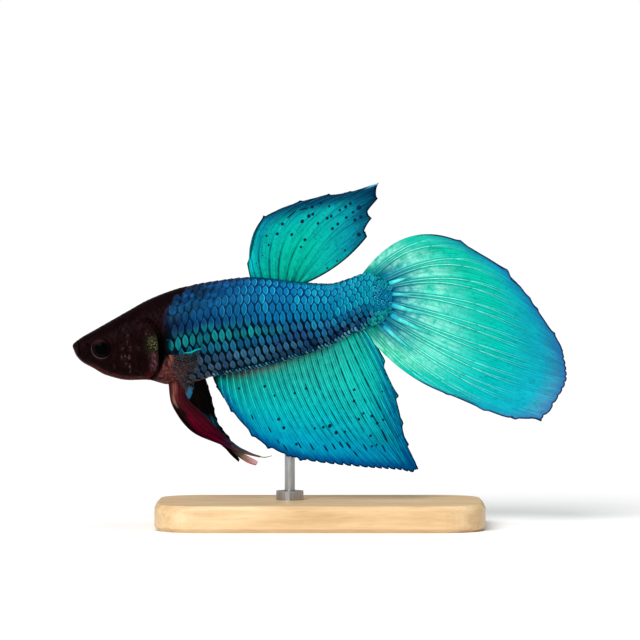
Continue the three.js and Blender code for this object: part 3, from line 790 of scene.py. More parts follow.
# small scales: round ones on the root of the tail, upright ones in the sheath over the anal fin,
# and a fine line of them along the root of the dorsal fin
small_finish, tree, shader = finish("small_rimmed_scale", Roughness=0.34, Specular_IOR_Level=0.09,
                                    Specular_Tint=(0.12, 0.8, 1, 1))
from_root, across_scale, _ = parts(place_in(tree, sheet="Scale"))
over = (from_root - 0.7) / 0.3
beside = (across_scale - 0.5) / 0.42
from_heart = (over * over + beside * beside) ** 0.5
along, up, tone = own(tree, "along"), own(tree, "up"), own(tree, "tone")
fringe_colour = ramp(tone * 0.6 + noise(tree, 0.0016, 1.0) * 0.7,
                     [(0.3, 6, 40, 86), (0.5, 16, 78, 120), (0.7, 56, 130, 158), (1, 112, 178, 192)])
in_fringe = rise(up, 0.24, 0.12) * rise(along, 0.93, 0.86)
low_colour = blend(in_fringe, flank_colour(tree), fringe_colour)
patches = noise(tree, 0.0014, 2.0)
heart = ramp(up, [(0.05, 8, 146, 108), (0.24, 10, 136, 124), (0.38, 6, 92, 138), (0.72, 4, 82, 134),
                  (0.9, 8, 124, 122), (1, 8, 134, 108)])
heart = tinted(heart, patches, (0.35, 0.62, 0.66, 0.76), (0.65, 1.15, 1.15, 1.1))
heart = blend(rise(along, 0.86, 0.93), low_colour, heart)
rim_colour = ramp(tone, [(0, 4, 104, 142), (0.5, 10, 140, 168), (1, 50, 176, 192)])
rim_share = rise(from_heart, 0.62, 0.74) * (1.0 - in_fringe)
colour = blend(rim_share, heart, rim_colour)
colour = blend(rise(from_heart, 0.9, 1.04), colour, (0, 26, 56))
# painted shade along the ridge of the back
colour = blend(ridge_shade_of(tree) * 0.75, colour, (0, 22, 52))
cover(shader, colour)
relief(shader, 0.02, noise(tree, 0.0002), 0.4)

for side, way in (("left", -1), ("right", 1)):
    small = []
    for column, place in enumerate(np.arange(LAST_FLANK_SCALE - 0.3, tail_x + 0.1, 0.56)):
        for arc_down in np.arange(0.33 + 0.4 * (column % 2), girth(place), 0.8):
            small.append((place + 0.03 * scale_luck.normal(), arc_down + 0.03 * scale_luck.normal(), way,
                          1.06, 0.9, 0.12, 0.08, 0.05 * scale_luck.normal()))
    for row in range(3):
        for place in scale_row(-16.2, LAST_FLANK_SCALE - 0.6, 0.5, 0.5 * (row % 2)):
            small.append((place, girth(place) - 0.1 - 0.55 * row + 0.05 * scale_luck.normal(), way, 0.58,
                          1.15, 0.16, 0.07, -0.3 + 0.08 * scale_luck.normal()))
    for row in range(3):
        for place in scale_row(-11.4 + 4 * row, 2.6, 0.74, 0.5 * (row % 2)):
            small.append((place, 0.32 + 0.6 * row, way, 1.2, 0.86, 0.14, 0.06, 0))
    coat("small_scales_" + side, small, 4, small_finish)

    fine_scales = []
    for row in range(26):
        for place in scale_row(-33.8, -18, 0.8, 0.5 * (row % 2)):
            arc_down = (row + 0.5) * 0.72
            spot = flank(np.array([place]), np.array([arc_down]), np.array([way]))[0][0]
            bare = spot[2] < 25.6 and place + 0.35 * (24 - spot[2]) < -19.4
            inside = place < head_border(spot[2]) + 0.5 or bare
            from_ball = math.hypot(place - eye_x, spot[2] - eye_z)
            in_crevice = place > -25.9 and 22.8 < spot[2] < 29
            if arc_down > girth(place) or not inside or in_crevice or from_ball < eye_radius + 0.75:
                continue
            small_jitter = scale_luck.normal(size=2)
            fine_scales.append((place + 0.05 * small_jitter[0], arc_down + 0.05 * small_jitter[1], way,
                                1.15, 0.9, 0.022, 0.06, 0))
    coat("head_scales_" + side, fine_scales, 4, skin_finish)

# ---------------------------------------------------------------- the eyes
# Each eye is a glassy ball, flatter than a marble, set in its socket and looking straight
# sideways. A black pupil lies in a dark brown iris with a painted mauve highlight above, and a dark
# ring of moist tissue holds the ball in the skin, with painted light making it pale towards the front and the
# bottom.

# in mm: the pupil, the ring of tissue around the ball, and how deep the ball sits
PUPIL_RADIUS = 1.08
EYE_RING_WIDTH = 0.13
BALL_SINK = 0.12

eye_finish, tree, shader = finish("wet_eye", Roughness=0.25, Specular_IOR_Level=0.01)
behind, _, above = parts(place_in(tree, moved=(-eye_x * MM, 0, -eye_z * MM)))
from_middle = (behind * behind + above * above) ** 0.5 * (1 / (eye_radius * MM))
iris_grain = noise(tree, 0.00025, 3.0, 0.7)
iris = ramp(iris_grain, [(0.3, 8, 3, 4), (0.7, 24, 10, 12)])
# painted highlight: the top front of the iris is lighter and mauve
iris_highlight = rise(above, 0.00035, 0.0011) * rise(behind, 0.0011, -0.0004)
iris = blend(iris_highlight, iris, (46, 18, 19))
pupil_edge = PUPIL_RADIUS / eye_radius
pupil = rise(from_middle, pupil_edge - 0.16, pupil_edge + 0.06)
colour = blend(pupil, (0, 2, 2), iris)
# painted light: the outer edge of the iris is a little lighter towards the front
outer_iris_lit_front = ramp(behind * -400.0, [(0.1, 8, 3, 4), (0.7, 16, 8, 10)])
colour = blend(rise(from_middle, 0.84, 0.9), colour, outer_iris_lit_front)
cover(shader, colour)

ring_finish, tree, shader = finish("eye_ring_painted_pale", Roughness=0.4, Specular_IOR_Level=0.03)
behind, _, above = parts(place_in(tree, moved=(-eye_x * MM, 0, -eye_z * MM)))
# painted light: the ring is pale towards the front and the bottom and near black towards the back and the top
painted_light = (behind + above) * -260.0 + noise(tree, 0.0003) * 0.5
colour = ramp(painted_light, [(0.0, 10, 3, 4), (0.3, 24, 12, 14), (0.75, 62, 44, 48)])
cover(shader, colour)
relief(shader, 0.03, noise(tree, 0.0002))

for side, way in (("left", -1), ("right", 1)):
    low, high = in_mm("eye_" + side)
    middle = (low + high) / 2
    half = (high - low) / 2
    bpy.ops.mesh.primitive_uv_sphere_add(segments=56, ring_count=36, radius=1)
    ball = bpy.context.object
    ball.name = "eyeball_" + side
    bpy.ops.object.mode_set(mode="EDIT")
    bpy.ops.mesh.select_all(action="SELECT")
    bpy.ops.transform.rotate(value=math.pi / 2, orient_axis="X", center_override=(0, 0, 0))
    bpy.ops.transform.resize(value=tuple(half * MM), center_override=(0, 0, 0))
    bpy.ops.transform.translate(value=tuple((middle - (0, way * BALL_SINK, 0)) * MM))
    bpy.ops.object.mode_set(mode="OBJECT")
    bpy.ops.object.shade_smooth()
    ball.data.materials.append(eye_finish)
    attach(ball, "root")
    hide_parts("eye_" + side)

    bpy.ops.mesh.primitive_torus_add(major_segments=96, minor_segments=14, major_radius=opening + 0.06,
                                     minor_radius=EYE_RING_WIDTH, rotation=(math.pi / 2, 0, 0))
    ring = bpy.context.object
    ring.name = "eye_ring_" + side
    bpy.ops.object.transform_apply(location=True, rotation=True, scale=True)
    spots = np.empty(len(ring.data.vertices) * 3)
    ring.data.vertices.foreach_get("co", spots)
    spots = spots.reshape(-1, 3)
    x, z = spots[:, 0] + eye_x, spots[:, 2] + eye_z
    around = np.arctan2(spots[:, 2], spots[:, 0])
    rim_x = eye_x + np.cos(around) * (opening + 0.06)
    rim_z = eye_z + np.sin(around) * (opening + 0.06)
    top, bottom = top_line(rim_x), bottom_line(rim_x)
    centre = bottom + WIDEST * (top - bottom)
    share = np.abs(rim_z - centre) / np.where(rim_z > centre, top - centre, centre - bottom)
    rim_y = half_width(rim_x) * (1 - share ** (2 / roundness(rim_x))) ** (roundness(rim_x) / 2)
    y = way * (rim_y - 0.06) + spots[:, 1] * 0.8
    ring.data.vertices.foreach_set("co", (np.stack((x, y, z), axis=-1) * MM).ravel())
    bpy.ops.object.shade_smooth()
    ring.data.materials.append(ring_finish)
    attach(ring, "root")

# ---------------------------------------------------------------- the fins of the back, belly and tail
# Each fin is a thin sheet of turquoise skin over a fan of soft rays. The rays are thickest at the
# root, split in two and in two again, and end in small points on the fin's edge. The sheet sags
# between them, so a spread fin is pleated, and it grows out of the flesh in a scaled sheath.

# guide rays: share across the fin, then x and z of the root, of the bend and of the tip
DORSAL_GUIDES = [
    (0, -10.4, 37, -10.9, 38.8, -11.1, 40.1),
    (0.125, -9.4, 37, -12, 43.3, -8.5, 47.1),
    (0.25, -8.5, 37, -11.6, 45.9, -3, 49.5),
    (0.375, -7.4, 36.8, -9.4, 48.6, 1.4, 50.5),
    (0.5, -6.2, 36.7, -7.4, 47.7, 4.6, 51),
    (0.625, -5.2, 36.6, -4.6, 47.2, 9, 52.4),
    (0.75, -4.4, 36.5, -0.9, 45.9, 8.8, 50),
    (0.875, -3.6, 36.5, 1.2, 43.8, 7.9, 47),
    (1, -4, 36.4, 2.8, 38.6, 7.2, 44.2),
]
TAIL_GUIDES = [
    (0, 6.2, 38.2, 12.5, 47.2, 21.3, 43.4),
    (0.09, 8.6, 37.7, 17.9, 46.1, 28.4, 38.9),
    (0.18, 9.2, 36.8, 23, 43.6, 33.1, 33),
    (0.36, 9.5, 35.3, 24.3, 35.3, 37, 26.7),
    (0.55, 9.5, 33.3, 24.6, 26.6, 37.62, 22.9),
    (0.73, 9, 31.8, 22, 20.9, 35.8, 18.9),
    (0.82, 8.5, 31.4, 18.7, 20.4, 33.4, 16.4),
    (0.91, 7.8, 31.1, 15.2, 21.4, 29.2, 16.6),
    (1, 6.2, 30.4, 11.5, 23.2, 19.3, 20.4),
]
ANAL_GUIDES = [
    (0, -16.4, 23.8, -16.4, 22.2, -15.6, 21.2),
    (0.07, -14.8, 24.2, -14.9, 20.4, -13.5, 17.8),
    (0.17, -12.5, 24.6, -11.9, 17.7, -8.1, 12.3),
    (0.3, -9.4, 25.3, -7.9, 17.3, -2.1, 10.1),
    (0.55, -3.3, 27, -1.7, 17, 6.7, 9.1),
    (0.76, 1.5, 28.7, 4.3, 17, 12.5, 8.6),
    (0.83, 3.2, 29.6, 7.1, 19.2, 14.1, 8.3),
    (0.87, 4.2, 30.2, 8.7, 20.2, 15, 8.8),
    (0.9, 4.9, 30.6, 9.2, 21.6, 13.3, 12.2),
    (0.93, 5.3, 30.7, 9.5, 23, 12.5, 15.7),
    (0.97, 5.9, 30.9, 9, 26, 11.4, 20.5),
    (0.985, 5.9, 31, 8.6, 27.8, 9.9, 23.8),
    (1, 6, 31.2, 8.2, 28.9, 9.5, 26.1),
]
# first and second are where the rays split, pair is how far a ray's two halves stand apart, and sag is
# how far the web hangs between rays, in mm. Each ray has points on the edge, which start at shift and
# are blunt as far across as rounded says. notch is how far the edge falls back between them, in mm, and
# each barb is a share across, a reach in x and z in mm, and a half width. thick and tip are a ray's
# radii, and wave is how the whole sheet bends. across and along count the sheet's faces, and fibres
# its finest rays.
DORSAL = {
    "guides": DORSAL_GUIDES, "rays": 8, "first": 0.42, "second": 0.8, "sag": 0.13, "pair": 0.06,
    "points": 1, "shift": 0.5, "rounded": 0, "thick": 0.15, "tip": 0.04,
    "notch": [(0, 0.5), (0.5, 0.5), (0.6, 0.3), (0.69, 0.4), (0.81, 1.4), (0.94, 1.2), (1, 1)],
    "barbs": [(0.125, -0.1, 0.35, 0.012), (0.25, -0.05, 0.2, 0.016), (0.375, 0, 0.25, 0.016),
              (0.5, 0, 0.15, 0.02)],
    "wave": lambda u, v: 0.7 * v**2 * np.sin(5 * u + 0.6), "across": 18, "along": 90, "fibres": 64,
}
TAIL = {
    "guides": TAIL_GUIDES, "rays": 10, "first": 0.3, "second": 0.5, "sag": 0.3, "pair": 0.1,
    "points": 2, "shift": 0, "rounded": 1, "thick": 0.13, "tip": 0.03,
    "notch": [(0, 0.08), (0.35, 0.12), (0.45, 0.22), (0.8, 0.32), (1, 0.25)],
    "barbs": [(0, 0.1, 0.3, 0.015), (0.09, 0.2, 0.25, 0.012), (0.108, -0.25, -0.2, 0.016),
              (0.15, 0.1, 0.15, 0.01), (0.18, 0.15, 0.15, 0.012), (0.27, 0.2, 0.1, 0.012),
              (0.36, 0.15, 0.05, 0.01), (0.82, 0.3, -0.35, 0.012), (0.9, 0, -0.25, 0.008),
              (0.955, 0, -0.4, 0.008), (1, -0.1, -0.25, 0.008)],
    "wave": lambda u, v: 1.5 * v**2 * np.sin(4.4 * u - 0.5), "across": 28, "along": 110, "fibres": 80,
}
ANAL = {
    "guides": ANAL_GUIDES, "rays": 26, "first": 0.5, "second": 0.78, "sag": 0.26, "pair": 0.0,
    "points": 1, "shift": 0, "rounded": 0.85, "thick": 0.09, "tip": 0.035,
    "notch": [(0, 0.1), (0.25, 0.2), (0.32, 0.4), (0.75, 0.42), (0.84, 0.25), (0.88, 0.3), (1, 0.2)],
    "barbs": [(0.07, -0.1, -0.4, 0.01), (0.13, -0.1, -0.35, 0.009), (0.175, -0.1, -0.35, 0.009),
              (0.235, -0.1, -0.35, 0.009), (0.28, -0.1, -0.3, 0.009), (0.93, 0.7, -0.3, 0.008),
              (0.967, 0.9, -0.4, 0.007), (0.995, 0.8, -0.3, 0.006), (0.905, 0.5, -0.3, 0.007)],
    "wave": lambda u, v: 0.5 * v**2 * np.sin(7 * u + 1.1), "across": 13, "along": 100, "fibres": 104,
}
WEB_THICKNESS = 0.12
RAY_SIDES = 8
# the width, in mm, over which the grooves beside rays and along folds are drawn, and the widest edge
FOLD_WIDTH = 0.8
EDGE_WIDTH = 4


def spread(fin):
    """A function of u across a fin and v along its rays that gives points of its sheet, in mm."""
    curves = [through([(row[0], row[k]) for row in fin["guides"]]) for k in range(1, 7)]

    def point(u, v):
        root_x, root_z, bend_x, bend_z, tip_x, tip_z = (curve(u) for curve in curves)
        w = 1 - v
        x = w * w * root_x + 2 * w * v * bend_x + v * v * tip_x
        z = w * w * root_z + 2 * w * v * bend_z + v * v * tip_z
        for barb_u, barb_x, barb_z, width in fin["barbs"]:
            share = np.maximum(1 - np.abs(u - barb_u) / width, 0) * v**40
            x, z = x + barb_x * share, z + barb_z * share
        return np.stack((x, fin["wave"](u, v), z), axis=-1)

    return point


def openings(fin, v):
    """How far the first and second splits stand apart, in shares of the space between two rays."""
    first = fin["pair"] + (0.25 - fin["pair"]) * np.clip((v - fin["first"]) / (1 - fin["first"]), 0, 1) ** 0.8
    second = 0.125 * np.clip((v - fin["second"]) / (1 - fin["second"]), 0, 1) ** 0.8
    return first, second


def edge_reach(fin, u):
    """How much of a ray's length the sheet has at u, which falls back between the points on its edge."""
    spots = fin["rays"] * fin["points"]
    fine_u = np.linspace(0, 1, 60 * fin["rays"])
    place = fine_u * spots + fin["shift"] + 0.3 * np.sin(fine_u * 11) * (fin["points"] > 1)
    luck = np.random.default_rng(spots).random(spots + 1)
    depth = through(fin["notch"])(fine_u) * (0.6 + 0.8 * luck[np.clip(place.astype(int), 0, spots)])
    v = np.linspace(0, 1, 12)[:, None]
    at = spread(fin)(fine_u[None] + 0 * v, v + 0 * fine_u[None])
    length = np.linalg.norm(np.diff(at, axis=0), axis=-1).sum(axis=0)
    off = np.abs(place % 1 - 0.5) * 2
    reach = 1 - depth / length * np.where(fine_u < fin["rounded"], off**3, 1 - (1 - off) ** 1.5)
    return np.interp(u, fine_u, reach)


def pleated(fin, u, v):
    """Points of the sheet as it hangs: cut back at its edge and sagging between the rays."""
    point, reach = spread(fin), v * edge_reach(fin, u)
    over = point(u + 0.001, reach) - point(u - 0.001, reach)
    down = point(u, reach + 0.001) - point(u, reach - 0.001)
    out = np.cross(over, down)
    out /= np.maximum(np.linalg.norm(out, axis=-1, keepdims=True), 1e-9)
    fold = np.abs((u * fin["rays"]) % 1 - 0.5) * 2
    sag = fin["sag"] * ease(fold, 0.1, 1) * (1 - 0.75 * v)
    return point(u, reach) + out * (sag * np.where(out[..., 1] > 0, 1, -1))[..., None]


def walled(sheet, thickness, group=""):
    """Gives a sheet its thickness, in mm, all over or by the weights of a group."""
    wall = sheet.modifiers.new("wall", "SOLIDIFY")
    wall.thickness = thickness * MM
    wall.offset = 0
    wall.vertex_group = group
    bpy.ops.object.modifier_apply(modifier="wall")
    bpy.ops.object.shade_smooth()
    return sheet


def web(name, fin):
    """The fin's sheet of skin: a grid spread over the rays, which thins towards the edge."""
    u, v = (np.linspace(0, 1, count + 1) for count in (fin["rays"] * fin["across"], fin["along"]))
    u, v = np.meshgrid(u, v)
    at = pleated(fin, u, v)
    outline = np.concatenate((at[:, 0], at[-1], at[:, -1]))
    to_edge = np.min([np.hypot(at[..., 0] - x, at[..., 2] - z) for x, _, z in outline], axis=0)
    piece = grid_of(name, at)
    mark(piece, "space", np.linalg.norm(np.gradient(at, axis=1), axis=-1) * fin["across"])
    mark(piece, "edge", np.clip(to_edge / EDGE_WIDTH, 0, 1))
    group = piece.vertex_groups.new(name="thickness")
    for share in range(11):
        chosen = np.flatnonzero(np.round((1 - 0.55 * v.ravel()) * 10).astype(int) == share)
        if len(chosen):
            group.add(chosen.tolist(), share / 10, "REPLACE")
    return walled(piece, WEB_THICKNESS, "thickness")


def tubes(name, paths, radii, sides):
    """One mesh of closed tapering tubes along paths, in mm, each with its own radii."""
    corners, faces, start = [], [], 0
    turn = np.arange(sides) * 2 * np.pi / sides
    for path, radius in zip(paths, radii):
        way = np.gradient(path, axis=0)
        way /= np.linalg.norm(way, axis=1, keepdims=True)
        across = np.cross(way, (0, 1, 0))
        across /= np.linalg.norm(across, axis=1, keepdims=True)
        up = np.cross(across, way)
        circle = np.cos(turn)[None, :, None] * across[:, None] + np.sin(turn)[None, :, None] * up[:, None]
        corners.append((path[:, None] + circle * radius[:, None, None]).reshape(-1, 3))
        for k in range(len(path) - 1):
            for j in range(sides):
                a, b = start + k * sides + j, start + k * sides + (j + 1) % sides
                faces.append((a, b, b + sides, a + sides))
        faces.append(tuple(start + j for j in reversed(range(sides))))
        faces.append(tuple(start + (len(path) - 1) * sides + j for j in range(sides)))
        start += len(path) * sides
    return made_of(name, np.vstack(corners), faces)


def rays(name, fin):
    """The fan of split rays, each a tapering tube that stands proud of the web on both faces."""
    paths, radii, places = [], [], []
    pair = fin["pair"]
    for k in range(fin["rays"]):
        stretches = []
        if pair:
            stretches += [(0, fin["second"], (a,)) for a in (-1, 1)]
        else:
            stretches += [(0, fin["first"], ())] + [(fin["first"], fin["second"], (a,)) for a in (-1, 1)]
        stretches += [(fin["second"], 1, (a, b)) for a in (-1, 1) for b in (-1, 1)]
        for start, end, split in stretches:
            v = np.linspace(start, end, max(6, int((end - start) * 44)))
            first, second = openings(fin, v)
            t = np.zeros_like(v)
            if split:
                t = t + split[0] * first
            if len(split) > 1:
                t = t + split[1] * second
            u = (k + 0.5 + t) / fin["rays"]
            path = pleated(fin, u, v)
            radius = fin["thick"] * (1 - v) ** 0.8 * 0.8 + fin["tip"]
            radius = radius * 0.86 ** len(split)
            if end < 1:
                radius[-1] *= 0.5
            paths.append(path)
            radii.append(radius)
            places.append(np.stack((u, v), axis=-1))
    piece = tubes(name, paths, radii, RAY_SIDES)
    spots = np.repeat(np.vstack(places), RAY_SIDES, axis=0)
    mark(piece, "across", spots[:, 0])
    mark(piece, "out", spots[:, 1])
    return piece


def ramp_up(value, start):
    """A straight rise from 0 at start to 1 at 1."""
    return clamp((value - start) / (1 - start))


def banded(across, out, bands):
    """Colours that run along each band of a fin, and blend into the next band's across it."""
    colour = ramp(out, bands[0][1:])
    for (share_before, *_), (share, *stops) in zip(bands, bands[1:]):
        colour = blend(rise(across, share_before, share), colour, ramp(out, stops))
    return colour


def web_finish(name, fin, bands, rim, outline, groove_shade, speck, lines_share, pale=None, tip=None):
    """The colours of a web, from its bands, the dark rim inside its edge, the line along the edge and the
    painted shade in the grooves beside the rays and along the folds. Widths are in shares of the widest edge.
    speck is how strong the flecks in that shade's colour are, and lines_share how strong the finest rays are.
    pale is the colour of bare patches near the root, and tip marks one point with (share across, width,
    colour)."""
    rim_colour, rim_width, rim_strength, rim_start, rim_comes, rim_full, rim_fades, rim_gone = rim
    line_colour, line_width = outline
    shade_and_fleck_colour, by_rays, in_folds, groove_comes, groove_full, fold_full, fold_gone, left_at_edge = groove_shade
    material, tree, shader = finish(name, Roughness=0.4, Specular_IOR_Level=0.06,
                                    Specular_Tint=(0.1, 0.9, 1, 1))
    across, out, _ = parts(place_in(tree, sheet="UVMap"))
    edge = own(tree, "edge")
    # the distances to the nearest ray and to the middle of the fold, in shares of the fold width
    off = abs(step("FRACT", across * fin["rays"]) - 0.5)
    first = ramp_up(out, fin["first"]) ** 0.8
    first = first * (0.25 - fin["pair"]) + fin["pair"]
    second = ramp_up(out, fin["second"]) ** 0.8 * 0.125
    line = clamp(abs(abs(off - first) - second) * (own(tree, "space") / FOLD_WIDTH))
    crease = (0.5 - off) * (own(tree, "space") / FOLD_WIDTH)
    colour = banded(across, out, bands)
    clouds = noise(tree, 0.0016, 4.0, 0.65)
    if pale:
        bare = rise(out, 0.05, 0.14) * rise(out, 0.5, 0.26) * rise(line, 0.2, 0.7)
        bare = bare * rise(clouds, 0.3, 0.62)
        colour = blend(bare * 0.8, colour, pale)
    # fine rays of the web itself, in light and dark, which come and go
    fine = noise(tree, 1.0, 3.0, 0.6, (fin["fibres"] * 1.75, 5, 1), "UVMap")
    colour = tinted(colour, fine, (0.34, 0.5, 0.68, 0.74), (0.68, 1.1, 1.06, 1.06), lines_share)
    fibres = step("SINE", across * (fin["fibres"] * math.tau))
    patchy = rise(noise(tree, 1.0, 2.0, stretch=(fin["fibres"] / 2, 7, 1), sheet="UVMap"), 0.44, 0.62)
    light = rise(fibres, 0.4, 0.95) * rise(out, 0.2, 0.45) * patchy * (0.4 * lines_share)
    colour = blend(light, colour, (20, 230, 214))
    mottled = rise(noise(tree, 0.0005, 3.0, 0.6), 0.52, 0.68) * speck
    colour = blend(mottled, colour, shade_and_fleck_colour)
    # painted shade in the groove beside each ray, and in the one along the middle of each fold
    shade_beside_ray = rise(line, 0.06, 0.14) * rise(line, 0.34, 0.18) * (out * (left_at_edge - 1) + 1)
    shade_in_fold = rise(crease, 0.34, 0.06) * rise(out, fold_gone, fold_full)
    shade_share = clamp(shade_beside_ray * by_rays + shade_in_fold * in_folds)
    placed = rise(across, groove_comes, groove_full) * 0.65 + 0.35
    uneven = rise(clouds, 0.36, 0.6) * 0.5 + 0.5
    colour = blend(shade_share * placed * uneven, colour, shade_and_fleck_colour)
    ragged = edge + (fine - 0.5) * 0.6
    rim_share = rise(ragged, rim_width, 0.06) * rise(out, rim_start, rim_start + 0.3)
    rim_share = rim_share * rise(across, rim_comes, rim_full) * rise(across, rim_fades, rim_gone)
    colour = blend(rim_share * rim_strength, colour, rim_colour)
    line_share = rise(edge, line_width, line_width * 0.4) * rise(out, rim_start, rim_start + 0.3)
    colour = blend(line_share * 0.9, colour, line_colour)
    if tip:
        tip_across, tip_width, tip_colour = tip
        at_tip = rise(abs(across - tip_across), tip_width, tip_width * 0.4) * rise(out, 0.91, 0.97)
        colour = blend(at_tip, colour, tip_colour)
    cover(shader, colour)
    beads = noise(tree, 1.0, 2.0, stretch=(fin["fibres"] * 2, 40, 1), sheet="UVMap")
    relief(shader, 0.03, beads + fine * 1.2 + rise(line, 0.4, 0.1), 0.5)
    return material


def ray_finish(name, root, middle, tip, joints, tint=(0.2, 0.95, 1, 1), dark_until=0):
    """Ray colours from the root to the tip. joints is how many fine joints cross each ray, and the
    front rays, up to dark_until across the fin, may be dark."""
    material, tree, shader = finish(name, Roughness=0.36, Specular_IOR_Level=0.07, Specular_Tint=tint)
    out = own(tree, "out")
    grain = noise(tree, 0.0009, 4.0, 0.65)
    colour = ramp(out, [(0.02, *root), (0.3, *middle), (0.8, *tip)])
    colour = tinted(colour, grain, (0.34, 0.55, 0.68, 0.74), (0.66, 1.16, 1.1, 1.1))
    if dark_until:
        colour = blend(rise(own(tree, "across"), dark_until, dark_until - 0.02), colour, (3, 16, 20))
    cover(shader, colour)
    relief(shader, 0.03, step("SINE", out * (joints * math.tau)), 0.5)
    return material


# bands of a web: share across the fin, then (share of the way out, red, green, blue) from the root on
TAIL_BANDS = [
    (0, (0, 10, 128, 116), (0.2, 14, 166, 140), (0.6, 30, 188, 158), (1, 14, 118, 150)),
    (0.16, (0, 4, 84, 136), (0.1, 10, 112, 150), (0.25, 22, 184, 156), (0.6, 6, 182, 152),
     (0.84, 14, 150, 170), (1, 20, 92, 146)),
    (0.45, (0, 4, 84, 136), (0.1, 10, 112, 150), (0.25, 50, 204, 180), (0.6, 2, 178, 160),
     (0.86, 18, 150, 178), (1, 52, 88, 150)),
    (0.75, (0, 4, 92, 136), (0.1, 16, 130, 150), (0.25, 60, 218, 190), (0.6, 0, 174, 172),
     (0.86, 18, 166, 190), (1, 84, 120, 166)),
    (1, (0, 4, 124, 88), (0.25, 14, 188, 136), (0.6, 4, 186, 168), (0.88, 14, 166, 182), (1, 60, 110, 156)),
]
DORSAL_BANDS = [
    (0, (0, 4, 150, 150), (0.5, 4, 196, 210), (1, 8, 50, 76)),
    (0.12, (0, 4, 172, 172), (0.5, 8, 204, 220), (0.85, 2, 110, 142), (1, 2, 40, 66)),
    (0.35, (0, 4, 158, 134), (0.5, 2, 168, 160), (0.74, 4, 124, 142), (0.88, 4, 60, 94), (1, 2, 40, 68)),
    (0.62, (0, 0, 160, 124), (0.35, 2, 176, 148), (0.7, 6, 150, 154), (0.86, 4, 88, 114), (1, 6, 54, 78)),
    (1, (0, 2, 150, 124), (0.4, 6, 162, 150), (0.75, 6, 128, 144), (1, 6, 74, 104)),
]
ANAL_BANDS = [
    (0, (0, 4, 9, 9), (0.6, 4, 24, 26), (1, 2, 40, 60)),
    (0.025, (0, 6, 12, 11), (0.5, 4, 50, 52), (1, 2, 50, 84)),
    (0.05, (0, 90, 24, 20), (0.13, 90, 24, 20), (0.17, 20, 50, 46), (0.26, 6, 140, 124),
     (0.5, 0, 146, 152), (0.8, 0, 118, 160), (1, 0, 76, 132)),
    (0.16, (0, 116, 26, 22), (0.08, 116, 26, 22), (0.1, 70, 92, 84), (0.18, 20, 148, 130),
     (0.45, 0, 164, 168), (0.82, 0, 142, 184), (1, 0, 84, 146)),
    (0.32, (0, 110, 40, 34), (0.062, 110, 40, 34), (0.075, 110, 130, 120), (0.15, 24, 170, 154),
     (0.5, 0, 188, 192), (0.82, 0, 162, 200), (1, 0, 92, 154)),
    (0.55, (0, 110, 140, 130), (0.1, 40, 188, 162), (0.5, 0, 196, 198), (0.82, 0, 160, 198),
     (1, 0, 92, 154)),
    (0.76, (0, 48, 184, 168), (0.2, 28, 200, 178), (0.6, 8, 184, 186), (0.85, 0, 128, 170),
     (1, 2, 78, 130)),
    (0.88, (0, 20, 192, 168), (0.4, 14, 178, 166), (0.62, 0, 112, 142), (1, 0, 60, 104)),
    (1, (0, 8, 132, 144), (0.5, 6, 122, 142), (1, 2, 72, 108)),
]
# the rim's colour, width, strength, start along the rays, and where across the fin it comes, is full,
# fades and is gone; the line's colour and width; the painted groove shade's colour, its strength beside the
# rays and along the folds, where across the fin it comes and is full, where along the rays the fold's shade
# is full and gone, and the share of it left at the edge
tail_web = web("tail_fin_web", TAIL)
tail_web.data.materials.append(web_finish(
    "tail_turquoise", TAIL, TAIL_BANDS,
    rim=((22, 104, 158), 0.36, 0.5, 0.5, 0, 0.12, 0.98, 0.86), outline=((26, 22, 66), 0.08),
    groove_shade=((0, 112, 92), 0.8, 0.2, -0.2, 0.2, 0.2, 0.8, 0.3), speck=0.36, lines_share=0.85,
    pale=(150, 232, 212)))
# the tail's rays are pale in their middle stretch, partly their own colour and partly a painted highlight
# along them
tail_rays = rays("tail_fin_rays", TAIL)
tail_rays.data.materials.append(
    ray_finish("tail_ray_turquoise", (0, 104, 140), (136, 244, 220), (10, 170, 186), 62))

# the stoutest rays start from the tail's root as thick bright fingers
finger_paths, finger_radii, finger_marks = [], [], []
for u, length, thick in ((0.21, 0.14, 0.36), (0.35, 0.12, 0.3), (0.47, 0.2, 0.42), (0.59, 0.24, 0.44),
                         (0.79, 0.22, 0.36)):
    v = np.linspace(0.04, 0.04 + length, 26)
    share = (v - v[0]) / (v[-1] - v[0])
    finger_paths.append(spread(TAIL)(u + 0 * v, v))
    finger_radii.append(thick * np.minimum(share / 0.04, 1) ** 0.5 * (1 - share) ** 0.9 + 0.02)
    finger_marks.append(np.repeat(share, 12))
fingers = tubes("tail_fin_ray_bases", finger_paths, finger_radii, 12)
mark(fingers, "out", np.concatenate(finger_marks))
fingers.data.materials.append(
    ray_finish("bright_ray_base", (4, 150, 186), (90, 232, 222), (30, 190, 180), 9))

dorsal_web = web("dorsal_fin_web", DORSAL)
dorsal_web.data.materials.append(web_finish(
    "dorsal_teal", DORSAL, DORSAL_BANDS,
    rim=((1, 30, 60), 0.62, 1.0, -1, 0.08, 0.34, 0.94, 0.7), outline=((1, 8, 22), 0.1),
    groove_shade=((0, 56, 84), 0.1, 1.0, 1, 0.5, 0.1, 0.66, 1), speck=0.36, lines_share=0.55,
    tip=(0.625, 0.035, (96, 176, 206))))
dorsal_rays = rays("dorsal_fin_rays", DORSAL)
dorsal_rays.data.materials.append(
    ray_finish("dorsal_ray_teal", (4, 164, 138), (6, 174, 156), (4, 84, 116), 28))

